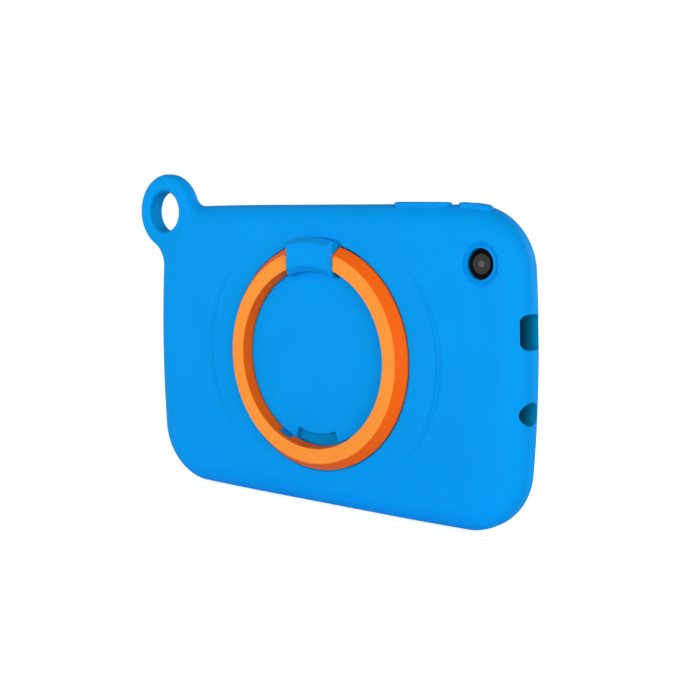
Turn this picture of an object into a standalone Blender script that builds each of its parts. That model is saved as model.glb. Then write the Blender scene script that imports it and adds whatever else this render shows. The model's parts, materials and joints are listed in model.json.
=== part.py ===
"""Kids tablet in a soft bumper case, with a corner loop and a swing-out ring stand.

The tablet stands upright on its long edge: +Z is up, the back faces -Y, the screen faces +Y and the
ports are on +X. The origin is on the floor, under the middle of the tablet.
"""

from math import acos, atan2, cos, degrees, hypot, pi, radians, sin, sqrt

import bmesh
import bpy
from mathutils import Matrix, Vector

# ---------------------------------------------------------------- driving dimensions, metres

GAP = 0.0003                    # clearance between two pieces that touch

# Tablet shells
TABLET_LENGTH = 0.1895
TABLET_HEIGHT = 0.1110
TABLET_DEPTH = 0.0092
TABLET_CORNER = 0.0100
COVER_ROUND = 0.0022            # round of the rear cover's back edge
COVER_WALL = 0.0012
COVER_BACK = 0.0010
GLASS_DEPTH = 0.0009
GLASS_ROUND = 0.0002
FRAME_PLATE = 0.0008
FRAME_RIM = 0.0010
DISPLAY_MARGINS = (0.01325, 0.0070)     # from the tablet's sides and ends
DISPLAY_DEPTH = 0.0017

# Screws and their bosses
SCREW_RADIUS = 0.0008
SCREW_HEAD = (0.0015, 0.0005)
BOSS_RADIUS = 0.0019
FRAME_SCREW_LENGTH = 0.0036
BOARD_SCREW_LENGTH = 0.0014
CORNER_SCREW = (0.0068, 0.0095)         # in from the tablet's side and end
PORT_SCREW = (0.0058, 0.0265)           # the one above the ports
MIDDLE_SCREW = 0.0047                   # in from the tablet's end
BOARD_SCREW = (0.0040, 0.0045)          # in from the board's edges
BOARD_MIDDLE_SCREW = (0.0230, 0.0323)   # from the board's left edge and its foot

# Main board and what it carries, measured from its left edge
BOARD_WIDTH = 0.0439
BOARD_DEPTH = 0.0009
BOARD_STANDOFF = 0.0006         # between the rear cover and the board
BOARD_END = 0.0040              # between the rear cover's wall and the board's end
CHIP_HEIGHT = 0.0011            # of the parts that are soldered to it
SHIELD_SPANS = ((0.0070, 0.0290), (-0.0040, 0.0240))    # its height from the tablet's centre
CARD_SPANS = ((0.0150, 0.0310), (0.0083, 0.0228))       # its height from the board's foot
BATTERY_LEFT = 0.0268           # from the tablet's left edge
BATTERY_TO_BOARD = 0.0050
BATTERY_ENDS = (0.0115, 0.0155) # from the tablet's foot and head
BATTERY_ROUND = 0.0008
BATTERY_PLUG = (0.0032, 0.0090)
RIBBON_WIDTH = 0.0160
RIBBON_PLACE = 0.0190           # its middle, from the board's left edge
RIBBON_DEPTH = 0.0003
ANTENNA_SPAN = (-0.0600, -0.0250)
ANTENNA_SIZE = (0.0055, 0.0005)
FRONT_CAMERA = (0.0066, 0.0088) # its side, and its middle from the tablet's right edge
SPEAKER_BODY = (0.0120, 0.0220)

# Case walls round the tablet
SIDE_WALL = 0.00595             # at the corners; the sides bow outwards between them
END_WALL = 0.0098               # above and below the tablet
SIDE_BOW = 0.0039
END_BOW = 0.0010
END_FLAT = 0.0330               # half the straight middle of the long edges
BACK_WALL = 0.0040
LIP_DEPTH = 0.0022
LIP_OVERLAP = 0.0035
LIP_FLARE = 0.0010
CASE_CORNER = 0.0245
BACK_ROUND = (0.0125, 0.0083)   # inset and depth of the elliptical back edge
FRONT_ROUND = (0.0100, 0.0045)

# Corner loop
LOOP_RADIUS = 0.0180
LOOP_HOLE = 0.0094
LOOP_DEPTH = 0.0090
LOOP_SET_BACK = 0.0008          # from the case's back to the loop's
LOOP_EDGE = 0.0038              # round of its outer edges
LOOP_HOLE_EDGE = 0.0025
LOOP_HOLE_RUNOUT = 0.0002       # how far the hole's flare runs past the loop's faces
LOOP_OFFSET = (0.0028, 0.0021)  # hole's centre, in from the corner of the case's straight sides
LOOP_FILLETS = (0.0050, 0.0120) # to the top edge and to the side

# Ring stand
RING_RISE = 0.0003              # ring's centre above the case's centre
RING_OUTER = 0.0500
RING_BAND = 0.0100              # from its outer side to its inner side
RING_DRAFT = 0.0007             # the inner side leans in by this much
RING_SLOPE = 0.0035             # width of the sloped outer side
RING_EDGE = 0.0004
RING_HEIGHT = 0.0050            # above the case's back
RING_FOOT = 0.0007              # below the case's back, in the groove
GROOVE_SIDE_GAP = 0.0005
NOTCH_ANGLES = (21.0, 31.0)     # degrees from the ring's foot
NOTCH_SLACK = 0.6               # degrees between lug and notch
NOTCH_HEIGHT = 0.0025
NOTCH_REACH = 0.0017
LUG_REACH_IN = 0.0011
LUG_EDGE = 0.0002
RECESS_REACH_IN = 0.0061        # inside the ring
RECESS_REACH_UNDER = 0.0060     # under the ring
RECESS_ANGLE = 18.4
RECESS_DEPTH = 0.0026

# Hinge of the ring
HINGE_SET_IN = 0.0060           # from the ring's outer side to the axle
HINGE_STANDOFF = 0.0030         # from the case's back out to the axle
AXLE_RADIUS = 0.0015
AXLE_GRIP = 0.0005              # how far the axle runs into the ring's ends
SADDLE_HALF_WIDTH = 0.0129
SADDLE_FACE_HALF = 0.0110
SADDLE_REACH_IN = 0.0026        # past the ring's inner side
SADDLE_REACH_OUT = 0.0022       # past its outer side
SADDLE_HEIGHT = 0.0074
SADDLE_SHOULDER = 0.0044        # height where its ends start to lean in
SADDLE_KNEE = 0.0018            # height where its top and foot start to round over
SADDLE_ROUNDS = (0.0042, 0.0030)
POST_RADIUS = 0.0021
POST_ROOT = 0.0020
POST_PLACES = ((-0.0075, -0.0045), (0.0075, -0.0045), (0.0, 0.0045))  # about the axle
SADDLE_SCREW_LENGTH = 0.0050
ANCHOR_HALF = (0.0105, 0.0076)
ANCHOR_CORNER = 0.0017
ANCHOR_DEPTH = 0.0008

# Crescent steps beside the ring
CRESCENT_OFFSET = 0.0155        # from the ring's outer side
CRESCENT_WIDTH = 0.0029
CRESCENT_RISE = 0.00035
CRESCENT_SAG = 0.0017
CRESCENT_ANGLE = 38.0
CRESCENT_RAMP = 0.0120
CRESCENT_REACH = 1.12           # how far past its visible ends the step is sunk

# Rear camera
CAMERA_IN = (0.01055, 0.0125)   # from the tablet's right side and top
BEZEL_RADIUS = 0.0058
BEZEL_RIM = 0.0013
BEZEL_EDGE = 0.0003
BEZEL_SUNK = 0.0016             # bezel's face below the case's back
WINDOW_DEPTH = 0.0008
WINDOW_SHELF = 0.0009
CAMERA_BODY = (0.0085, 0.0032)
DISH_WIDTH = 0.0026
DISH_DEPTH = 0.0010

# Ports, from the tablet's centre
PORT_INSET = 0.0004             # sockets' mouths, in from the tablet's side
PORT_CUT_SHIFT = -0.0001        # case's cut-outs, behind the sockets
USB_RISE = 0.0167
USB_CUT = (0.0092, 0.0140)
USB_CUT_CORNER = 0.0027
USB_BODY = (0.0056, 0.0026, 0.0075)
USB_WALL = 0.0003
JACK_RISE = -0.0156
JACK_CUT_RADIUS = 0.0048
JACK_BODY = (0.0120, 0.0050, 0.0060)
JACK_BORE = 0.00175
MIC_DROP = 0.0052               # below the USB socket
MIC_BORE = 0.0005
SPEAKER_SLOTS = 5
SPEAKER_SLOT = (0.0044, 0.0016)
SPEAKER_PITCH = 0.0036

# Buttons on the top edge
BUTTON_Y = -0.0010
BUTTON_WIDTH = 0.0062
BUTTON_RISE = 0.0010
BUTTON_PLUG = 0.0030
BUTTON_GAP = 0.00035
VOLUME_FROM_RIGHT = (0.05755, 0.02935)  # its two ends, from the tablet's right side
POWER_FROM_RIGHT = (0.02515, 0.00935)
POWER_TRAVEL = 0.0004
STEM_WIDTH = 0.0024
STEM_INSET = 0.0035             # shorter than its cover at each end
STEM_ROOT = 0.0010
KEY_PROUD = 0.0005
KEY_FLANGE = (0.0012, 0.0008)   # longer than the key at each end, and its height
SWITCH_DOME = (0.0014, 0.0005)
SWITCH_SPREAD = 0.0075          # of the rocker's two switches, from its middle
BUTTON_BOARD = 0.0006

# ---------------------------------------------------------------- worked out from them

HALF_LENGTH = TABLET_LENGTH / 2 + GAP + SIDE_WALL
HALF_HEIGHT = TABLET_HEIGHT / 2 + GAP + END_WALL
CENTRE_Z = HALF_HEIGHT + END_BOW
TABLET_RIGHT = TABLET_LENGTH / 2
TABLET_TOP = CENTRE_Z + TABLET_HEIGHT / 2
TABLET_FOOT = CENTRE_Z - TABLET_HEIGHT / 2
TABLET_BACK = -TABLET_DEPTH / 2
TABLET_FRONT = TABLET_DEPTH / 2
CASE_BACK = TABLET_BACK - GAP - BACK_WALL
CASE_FRONT = TABLET_FRONT + GAP + LIP_DEPTH
COVER_INSIDE = TABLET_BACK + COVER_BACK
COVER_TOP = TABLET_FRONT - GLASS_DEPTH - GAP
DISPLAY_HALF = (TABLET_LENGTH / 2 - DISPLAY_MARGINS[0], TABLET_HEIGHT / 2 - DISPLAY_MARGINS[1])
DISPLAY_BACK = COVER_TOP - DISPLAY_DEPTH - GAP / 3
FRAME_BACK = DISPLAY_BACK - GAP - FRAME_PLATE
BOARD_BACK = COVER_INSIDE + BOARD_STANDOFF
BOARD_FRONT = BOARD_BACK + BOARD_DEPTH
BOARD_RIGHT = TABLET_RIGHT - COVER_WALL - 2 * GAP
BOARD_LEFT = BOARD_RIGHT - BOARD_WIDTH
BOARD_FOOT = TABLET_FOOT + COVER_WALL + BOARD_END
BOARD_TOP = TABLET_TOP - COVER_WALL - BOARD_END
PORT_Y = BOARD_FRONT + GAP + USB_BODY[1] / 2
CAMERA_X = TABLET_RIGHT - CAMERA_IN[0]
CAMERA_Z = TABLET_TOP - CAMERA_IN[1]
VOLUME_SPAN = tuple(TABLET_RIGHT - reach for reach in VOLUME_FROM_RIGHT)
POWER_SPAN = tuple(TABLET_RIGHT - reach for reach in POWER_FROM_RIGHT)
RING_Z = CENTRE_Z + RING_RISE
RING_INNER = RING_OUTER - RING_BAND
HINGE = Vector((0.0, CASE_BACK - HINGE_STANDOFF, RING_Z + RING_OUTER - HINGE_SET_IN))
GROOVE_DEPTH = RING_FOOT + GAP
ANCHOR_POCKET = ANCHOR_DEPTH + SCREW_HEAD[1] + 2 * GAP
LOOP_CENTRE = (-HALF_LENGTH + LOOP_OFFSET[0], HALF_HEIGHT - LOOP_OFFSET[1])

FRAME_SCREWS = (
    (CORNER_SCREW[0] - TABLET_RIGHT, TABLET_TOP - CORNER_SCREW[1]),
    (CORNER_SCREW[0] - TABLET_RIGHT, TABLET_FOOT + CORNER_SCREW[1]),
    (TABLET_RIGHT - CORNER_SCREW[0], TABLET_FOOT + CORNER_SCREW[1]),
    (TABLET_RIGHT - PORT_SCREW[0], TABLET_TOP - PORT_SCREW[1]),
    (0.0, TABLET_TOP - MIDDLE_SCREW),
    (0.0, TABLET_FOOT + MIDDLE_SCREW),
)
BOARD_SCREWS = (
    (BOARD_LEFT + BOARD_SCREW[0], BOARD_TOP - BOARD_SCREW[1]),
    (BOARD_LEFT + BOARD_SCREW[0], BOARD_FOOT + BOARD_SCREW[1]),
    (BOARD_LEFT + BOARD_MIDDLE_SCREW[0], BOARD_FOOT + BOARD_MIDDLE_SCREW[1]),
)

# ---------------------------------------------------------------- materials

MATERIALS = {
    # name: (sRGB colour, roughness, metallic)
    "case_blue": ((16, 156, 240), 0.55, 0.0),
    "ring_orange": ((255, 134, 40), 0.35, 0.0),
    "plastic_black": ((20, 20, 22), 0.4, 0.0),
    "plastic_grey": ((70, 72, 76), 0.5, 0.0),
    "glass_black": ((8, 8, 10), 0.05, 0.0),
    "display_dark": ((24, 26, 32), 0.15, 0.0),
    "lens_glass": ((30, 30, 34), 0.05, 0.0),
    "board_green": ((18, 84, 48), 0.5, 0.0),
    "tin": ((190, 192, 196), 0.3, 1.0),
    "steel": ((170, 172, 176), 0.35, 1.0),
    "battery_silver": ((150, 152, 156), 0.45, 0.4),
    "ribbon_amber": ((176, 98, 30), 0.45, 0.0),
}


def linear(channel):
    """sRGB byte to linear value."""
    value = channel / 255
    return value / 12.92 if value <= 0.04045 else ((value + 0.055) / 1.055) ** 2.4


def material(name):
    """Principled material from the table, made once."""
    if name in bpy.data.materials:
        return bpy.data.materials[name]
    colour, roughness, metallic = MATERIALS[name]
    made = bpy.data.materials.new(name)
    made.use_nodes = True
    shader = made.node_tree.nodes["Principled BSDF"]
    rgba = [linear(channel) for channel in colour] + [1.0]
    shader.inputs["Base Color"].default_value = rgba
    shader.inputs["Roughness"].default_value = roughness
    shader.inputs["Metallic"].default_value = metallic
    made.diffuse_color = rgba
    return made


# ---------------------------------------------------------------- scene and object helpers

def clear_scene():
    """Removes the old objects and makes the two collections."""
    for old in list(bpy.data.objects):
        bpy.data.objects.remove(old)
    for name in ("kids_tablet", "cutters"):
        made = bpy.data.collections.new(name)
        bpy.context.scene.collection.children.link(made)


def add_object(name, mesh, finish=None, turn=None, place=(0.0, 0.0, 0.0)):
    """Links a mesh as a part with a material, or as a hidden cutter without one."""
    made = bpy.data.objects.new(name, mesh)
    if turn:
        made.rotation_euler = turn
    made.location = place
    if finish:
        bpy.data.collections["kids_tablet"].objects.link(made)
        made.data.materials.append(material(finish))
    else:
        bpy.data.collections["cutters"].objects.link(made)
        made.hide_render = True
        made.display_type = "WIRE"
    return made


def mesh_from(bm, name):
    """Turns a bmesh into mesh data with its faces pointing out."""
    bmesh.ops.recalc_face_normals(bm, faces=bm.faces)
    mesh = bpy.data.meshes.new(name)
    bm.to_mesh(mesh)
    bm.free()
    return mesh


def smooth(thing, angle=35.0):
    """Shades a round piece smooth after its other modifiers, with its edges kept sharp."""
    thing.data.shade_smooth()
    thing.data.set_sharp_from_angle(angle=radians(angle))
    shading = thing.modifiers.new("shading", "WEIGHTED_NORMAL")
    shading.keep_sharp = True


def combine(target, tool, operation):
    """Adds an exact Boolean to the target."""
    step = target.modifiers.new(operation.lower() + "_" + tool.name, "BOOLEAN")
    step.operation = operation
    step.solver = "EXACT"
    step.object = tool


def cut(target, *tools):
    """Takes each tool away from the target."""
    for tool in tools:
        combine(target, tool, "DIFFERENCE")


def join(target, *tools):
    """Fuses each tool with the target."""
    for tool in tools:
        combine(target, tool, "UNION")


def pivot(name, place, *pieces):
    """Hangs the pieces on an empty that stands on their joint's axis."""
    made = bpy.data.objects.new(name, None)
    made.location = place
    bpy.data.collections["kids_tablet"].objects.link(made)
    for piece in pieces:
        piece.parent = made
        piece.matrix_parent_inverse = Matrix.Translation(-Vector(place))


# ---------------------------------------------------------------- solids

TO_BACK = (pi / 2, 0.0, 0.0)        # local Z points out of the back, local Y points up
TO_SIDE = (pi / 2, 0.0, pi / 2)     # local Z points along +X, local Y points up
UPRIGHT = (0.0, 0.0, 0.0)
OVERCUT = 0.002                     # how far a cutter runs past the wall that it opens
CIRCLE = 2 * pi


def box(name, low, high, finish=None):
    """Box between two corners."""
    bm = bmesh.new()
    bmesh.ops.create_cube(bm, size=1.0)
    size = [b - a for a, b in zip(low, high)]
    middle = [(a + b) / 2 for a, b in zip(low, high)]
    bmesh.ops.scale(bm, vec=size, verts=bm.verts)
    return add_object(name, mesh_from(bm, name), finish, place=middle)


def rounded_box(name, low, high, radius, finish=None):
    """Box with all its edges rounded."""
    made = box(name, low, high, finish)
    bevel = made.modifiers.new("rounding", "BEVEL")
    bevel.width = radius
    bevel.segments = 2
    bevel.limit_method = "NONE"
    return made


def cylinder(name, radius, length, place, turn=TO_BACK, segments=24):
    """Cylinder about its own Z axis, centred on a place and turned."""
    bm = bmesh.new()
    bmesh.ops.create_cone(bm, cap_ends=True, segments=segments, radius1=radius, radius2=radius,
                          depth=length)
    return add_object(name, mesh_from(bm, name), None, turn, place)


def turned(name, profile, place, finish=None, turn=TO_BACK, steps=48, closed=False):
    """Profile of (radius, height) points, run down the outer side, turned about the local Z axis."""
    mesh = bpy.data.meshes.new(name)
    edges = [(i, i + 1) for i in range(len(profile) - 1)]
    if closed:
        edges.append((len(profile) - 1, 0))
    mesh.from_pydata([(radius, 0.0, height) for radius, height in profile], edges, [])
    made = add_object(name, mesh, finish, turn, place)
    screw = made.modifiers.new("turning", "SCREW")
    screw.axis = "Z"
    screw.angle = CIRCLE
    screw.steps = steps
    screw.render_steps = steps
    screw.use_merge_vertices = True
    screw.merge_threshold = 0.00001
    screw.use_smooth_shade = True
    return made


def plate(name, outline, low, high, axis="Y", finish=None, round_edge=0.0):
    """Flat outline as a filled 2D curve, extruded between two levels of the axis.

    The outline is in XZ for axis Y, in YZ for axis X and in XY for axis Z.
    """
    curve = bpy.data.curves.new(name, "CURVE")
    curve.dimensions = "2D"
    curve.fill_mode = "BOTH"
    curve.extrude = (high - low) / 2 - round_edge
    curve.bevel_depth = round_edge
    curve.bevel_resolution = 1
    curve.offset = -round_edge
    spline = curve.splines.new("POLY")
    spline.points.add(len(outline) - 1)
    for point, (u, v) in zip(spline.points, outline):
        point.co = (u, v, 0.0, 1.0)
    spline.use_cyclic_u = True
    drawn = bpy.data.objects.new(name + "_outline", curve)
    bpy.data.collections["cutters"].objects.link(drawn)
    bpy.context.view_layer.update()
    mesh = bpy.data.meshes.new_from_object(drawn.evaluated_get(bpy.context.evaluated_depsgraph_get()))
    bpy.data.objects.remove(drawn)
    mesh.name = name
    bm = bmesh.new()
    bm.from_mesh(mesh)
    bmesh.ops.remove_doubles(bm, verts=bm.verts, dist=0.000001)
    bm.to_mesh(mesh)
    bm.free()
    middle = (low + high) / 2
    turn, place = {"Y": (TO_BACK, (0.0, middle, 0.0)),
                   "X": (TO_SIDE, (middle, 0.0, 0.0)),
                   "Z": (UPRIGHT, (0.0, 0.0, middle))}[axis]
    return add_object(name, mesh, finish, turn, place)


def loft(name, sections, finish=None):
    """Skin over closed sections with equal numbers of points, capped at both ends."""
    bm = bmesh.new()
    loops = [[bm.verts.new(point) for point in section] for section in sections]
    count = len(loops[0])
    for near, far in zip(loops, loops[1:]):
        for i in range(count):
            j = (i + 1) % count
            bm.faces.new((near[i], near[j], far[j], far[i]))
    bm.faces.new(reversed(loops[0]))
    bm.faces.new(loops[-1])
    return add_object(name, mesh_from(bm, name), finish)


def upright_loft(name, outlines, finish=None):
    """Loft over (outline, y) pairs, each outline in XZ."""
    return loft(name, [[(x, y, z) for x, z in outline] for outline, y in outlines], finish)


# ---------------------------------------------------------------- outlines

def arc(centre, radius, start, end, steps):
    """Points of an arc, both ends included, with its angles in radians."""
    return [(centre[0] + radius * cos(start + (end - start) * i / steps),
             centre[1] + radius * sin(start + (end - start) * i / steps)) for i in range(steps + 1)]


def rounded_rectangle(half_u, half_v, radius, steps=6, centre=(0.0, 0.0), side_steps=1):
    """Rectangle with round corners, run anticlockwise, with its sides split evenly."""
    corners = []
    for sign_u, sign_v, start in ((1, 1, 0.0), (-1, 1, pi / 2), (-1, -1, pi), (1, -1, 3 * pi / 2)):
        middle = (centre[0] + sign_u * (half_u - radius), centre[1] + sign_v * (half_v - radius))
        corners.append(arc(middle, radius, start, start + pi / 2, steps))
    points = []
    for corner, following in zip(corners, corners[1:] + corners[:1]):
        points += corner
        (u0, v0), (u1, v1) = corner[-1], following[0]
        for i in range(1, side_steps):
            share = i / side_steps
            points.append((u0 + (u1 - u0) * share, v0 + (v1 - v0) * share))
    return points


def pill(half_length, half_width, steps=6):
    """Straight slot with round ends, about its centre."""
    right = arc((half_length - half_width, 0.0), half_width, -pi / 2, pi / 2, steps)
    left = arc((half_width - half_length, 0.0), half_width, pi / 2, 3 * pi / 2, steps)
    return right + left


def moved(outline, du, dv):
    """The outline, shifted."""
    return [(u + du, v + dv) for u, v in outline]


def annular_sector(inner, outer, start, end, steps=8):
    """Sector of a ring about the ring stand's centre, with its angles in degrees."""
    centre = (0.0, RING_Z)
    return (arc(centre, outer, radians(start), radians(end), steps)
            + arc(centre, inner, radians(end), radians(start), steps))


def quarter(steps):
    """Sine and cosine along a quarter turn, from 0 to 90 degrees."""
    return [(sin(pi / 2 * i / steps), cos(pi / 2 * i / steps)) for i in range(steps + 1)]


def end_bow(x, half_length):
    """How far the long edges bow out at x, and how steeply that changes."""
    run = half_length - END_FLAT
    share = max(0.0, abs(x) - END_FLAT) / run
    slope = -2 * END_BOW * share / run
    return END_BOW * (1 - share ** 2), slope if x > 0 else -slope


def side_bow(z, half_height):
    """How far the short sides bow out at z, above or below the centre."""
    return SIDE_BOW * (1 - (z / half_height) ** 2)


def case_outline(inset):
    """Case outline in XZ, drawn in by the inset: a round rectangle with bowed sides."""
    half_x = HALF_LENGTH - inset
    half_z = HALF_HEIGHT - inset
    points = []
    for x, z in rounded_rectangle(half_x, half_z, CASE_CORNER - inset, 8, side_steps=7):
        bow = end_bow(x, half_x)[0]
        bowed_z = z + (bow if z > 0 else -bow)
        reach = side_bow(bowed_z, half_z)
        points.append((x + (reach if x > 0 else -reach), CENTRE_Z + bowed_z))
    return points


def case_top(x):
    """Height of the case's top edge at x."""
    bend = HALF_LENGTH - CASE_CORNER
    beyond = min(max(0.0, abs(x) - bend), CASE_CORNER)
    drop = CASE_CORNER - sqrt(CASE_CORNER ** 2 - beyond ** 2)
    return CENTRE_Z + HALF_HEIGHT - drop + end_bow(x, HALF_LENGTH)[0]


def back_inset(y):
    """How far the case's elliptical back edge has drawn in at y."""
    inset, depth = BACK_ROUND
    share = max(0.0, (CASE_BACK + depth - y) / depth)
    return inset * (1 - sqrt(max(0.0, 1 - share ** 2)))


def tablet_outline(inset):
    """Tablet outline in XZ, drawn in by the inset."""
    return rounded_rectangle(TABLET_LENGTH / 2 - inset, TABLET_HEIGHT / 2 - inset, TABLET_CORNER - inset, 5,
                             (0.0, CENTRE_Z))


def button_outline(span, width, grow=0.0):
    """Pill outline in XY of a button over its span of the top edge, grown on all sides."""
    half = (span[1] - span[0]) / 2 + grow
    return moved(pill(half, width / 2 + grow), (span[0] + span[1]) / 2, BUTTON_Y)


def widened(span, reach):
    """The span, longer by the reach at both ends."""
    return span[0] - reach, span[1] + reach


# ---------------------------------------------------------------- case body and loop

def case_body():
    """Solid pillow shape of the case, before anything is cut from it."""
    levels = [(BACK_ROUND[0] * (1 - sine), CASE_BACK + BACK_ROUND[1] * (1 - cosine))
              for sine, cosine in quarter(6)]
    levels += [(FRONT_ROUND[0] * (1 - cosine), CASE_FRONT - FRONT_ROUND[1] * (1 - sine))
               for sine, cosine in quarter(5)]
    return upright_loft("bumper_case", [(case_outline(inset), y) for inset, y in levels], "case_blue")


def top_edge(x, inset):
    """Point and outward direction on the case's top edge, drawn in by the inset."""
    bow, slope = end_bow(x, HALF_LENGTH - inset)
    return Vector((x, HALF_HEIGHT - inset + bow)), Vector((-slope, 1.0))


def left_edge(z, inset):
    """Point and outward direction on the case's left side, drawn in by the inset."""
    half = HALF_HEIGHT - inset
    return (Vector((-(HALF_LENGTH - inset + side_bow(z, half)), z)),
            Vector((-1.0, 2 * SIDE_BOW * z / half ** 2)))


def fillet(edge, near, far, inset, loop_radius, radius):
    """Fillet circle that touches the edge and the loop: its centre and its point on the edge.

    The edge's parameter is halved towards the place where the circle just reaches the loop.
    """
    loop = Vector(LOOP_CENTRE)
    halvings = 40
    for _ in range(halvings):
        middle = (near + far) / 2
        foot, outward = edge(middle, inset)
        centre = foot + outward.normalized() * radius
        if (centre - loop).length < loop_radius + radius:
            near = middle
        else:
            far = middle
    return centre, foot


def angle_of(centre, point):
    """Direction from the centre to the point."""
    return atan2(point[1] - centre[1], point[0] - centre[0])


def loop_section(y, edge_inset):
    """Outline of the loop and its webs at one depth, tangent to the case there."""
    sink = 0.00005
    inset = back_inset(y) + sink
    radius = LOOP_RADIUS - edge_inset
    top_radius = LOOP_FILLETS[0] + edge_inset
    side_radius = LOOP_FILLETS[1] + edge_inset
    loop = Vector(LOOP_CENTRE)
    top_centre, top_foot = fillet(top_edge, loop.x, 0.0, inset, radius, top_radius)
    side_centre, side_foot = fillet(left_edge, loop.y, 0.0, inset, radius, side_radius)
    start = angle_of(loop, top_centre)
    end = angle_of(loop, side_centre) % CIRCLE
    outline = arc(top_centre, top_radius, angle_of(top_centre, top_foot), start - pi, 5)
    outline += arc(loop, radius, start, end, 20)[1:-1]
    outline += arc(side_centre, side_radius, end - pi, angle_of(side_centre, side_foot), 5)
    inward = CASE_CORNER / 2
    outline.append((side_foot.x + inward, side_foot.y))
    outline.append((loop.x + inward, loop.y - inward))
    outline.append((top_foot.x, top_foot.y - inward))
    return moved(outline, 0.0, CENTRE_Z)


def corner_loop():
    """Loop at the top left corner, with a fillet to each side that follows the case's round edge."""
    back = CASE_BACK + LOOP_SET_BACK
    front = back + LOOP_DEPTH
    levels = [(back + LOOP_EDGE * (1 - cosine), LOOP_EDGE * (1 - sine)) for sine, cosine in quarter(4)]
    levels += [(front - LOOP_EDGE * (1 - sine), LOOP_EDGE * (1 - cosine)) for sine, cosine in quarter(4)]
    return upright_loft("loop_web", [(loop_section(y, inset), y) for y, inset in levels])


def loop_hole():
    """Cutter for the loop's hole, flared where it leaves the loop's two faces."""
    mouth = LOOP_HOLE + LOOP_HOLE_EDGE
    flare = [(mouth - LOOP_HOLE_EDGE * cosine, LOOP_HOLE_EDGE * (1 - sine))
             for sine, cosine in quarter(4)[:-1]]
    flare.append((mouth, -LOOP_HOLE_RUNOUT))
    back = -LOOP_SET_BACK
    front = back - LOOP_DEPTH
    profile = [(0.0, LOOP_DEPTH), (mouth, LOOP_DEPTH)]
    profile += [(radius, back - depth) for radius, depth in reversed(flare)]
    profile += [(radius, front + depth) for radius, depth in flare]
    profile += [(mouth, front - LOOP_DEPTH), (0.0, front - LOOP_DEPTH)]
    return turned("loop_hole", profile, loop_place(), steps=28)


def loop_place():
    """Where the loop's hole meets the plane of the case's back."""
    return LOOP_CENTRE[0], CASE_BACK, CENTRE_Z + LOOP_CENTRE[1]


# ---------------------------------------------------------------- features of the case's back

def crescent(name, side):
    """Shallow step beside the ring: a ridge that falls off outwards and dies out at both ends."""
    sections = []
    steps = 16
    sunk = CRESCENT_RISE
    floor = -3 * CRESCENT_RISE
    for i in range(steps + 1):
        share = CRESCENT_REACH * (2 * i / steps - 1)
        angle = radians(CRESCENT_ANGLE) * share
        rise = CRESCENT_RISE * (1 - share ** 2)
        ridge = RING_OUTER + CRESCENT_OFFSET - CRESCENT_SAG * share ** 2
        fall = (rise + sunk) / CRESCENT_RISE
        outer = ridge + CRESCENT_WIDTH * fall
        inner = ridge - CRESCENT_RAMP * fall
        profile = ((inner, -sunk), (ridge, rise), (outer, -sunk), (outer, floor), (inner, floor))
        sections.append([(side * radius * cos(angle), CASE_BACK - height, RING_Z + radius * sin(angle))
                         for radius, height in profile])
    return loft(name, sections)


def saddle_land(name, half_width):
    """Cutter that keeps the space behind the saddle out of another cutter."""
    reach = RING_HEIGHT + BACK_WALL
    return box(name, (-half_width, CASE_BACK - reach, RING_Z),
               (half_width, CASE_BACK + reach, RING_Z + RING_OUTER + reach))


def ring_groove():
    """Cutter for the ring's groove, which stops short of the saddle."""
    inner = RING_INNER - RING_DRAFT - GROOVE_SIDE_GAP
    outer = RING_OUTER + GROOVE_SIDE_GAP
    profile = ((outer, GROOVE_DEPTH), (outer, -GROOVE_DEPTH), (inner, -GROOVE_DEPTH), (inner, GROOVE_DEPTH))
    groove = turned("ring_groove", profile, (0.0, CASE_BACK, RING_Z), steps=80, closed=True)
    cut(groove, saddle_land("groove_land", SADDLE_HALF_WIDTH))
    return groove


def swing_relief():
    """Cutter behind the ring's ends, where its outer corner dips as it swings about the axle."""
    hinge_height = HINGE.z - RING_Z
    end = SADDLE_HALF_WIDTH + GAP
    corner = hypot(sqrt(RING_OUTER ** 2 - end ** 2) - hinge_height, HINGE_STANDOFF + RING_FOOT)
    below = sqrt(max(0.0, corner ** 2 - (HINGE_STANDOFF + GROOVE_DEPTH) ** 2))
    inner = hypot(hinge_height - below - GAP, end)
    level = degrees(acos(hinge_height / RING_OUTER))
    outline = annular_sector(inner, RING_OUTER + GAP, 90 - level, 90 + level, 20)
    relief = plate("swing_relief", outline, CASE_BACK + GROOVE_DEPTH / 2, HINGE.y + corner + GAP)
    cut(relief, saddle_land("relief_land", SADDLE_HALF_WIDTH + GAP / 3))
    return relief


def finger_recess():
    """Cutter for the hollow that lets a finger under the ring's foot."""
    outline = annular_sector(RING_INNER - RECESS_REACH_IN, RING_INNER + RECESS_REACH_UNDER,
                             -90 - RECESS_ANGLE, -90 + RECESS_ANGLE)
    return plate("finger_recess", outline, CASE_BACK - RING_HEIGHT, CASE_BACK + RECESS_DEPTH)


def notch_sector(side, inner, outer, slack):
    """Outline of a notch at the ring's foot, on one side, narrowed by the slack at both ends."""
    low, high = sorted((side * (NOTCH_ANGLES[0] + slack), side * (NOTCH_ANGLES[1] - slack)))
    return annular_sector(inner, outer, low - 90, high - 90, 4)


def lug(name, side):
    """Small tooth of the case that fills the ring's notch and holds the ring shut."""
    inner = RING_INNER - RING_DRAFT - LUG_REACH_IN
    outer = RING_INNER + NOTCH_REACH - 2 * GAP
    return plate(name, notch_sector(side, inner, outer, NOTCH_SLACK), CASE_BACK - NOTCH_HEIGHT + 2 * GAP,
                 CASE_BACK + 2 * GROOVE_DEPTH, round_edge=LUG_EDGE)


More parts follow.
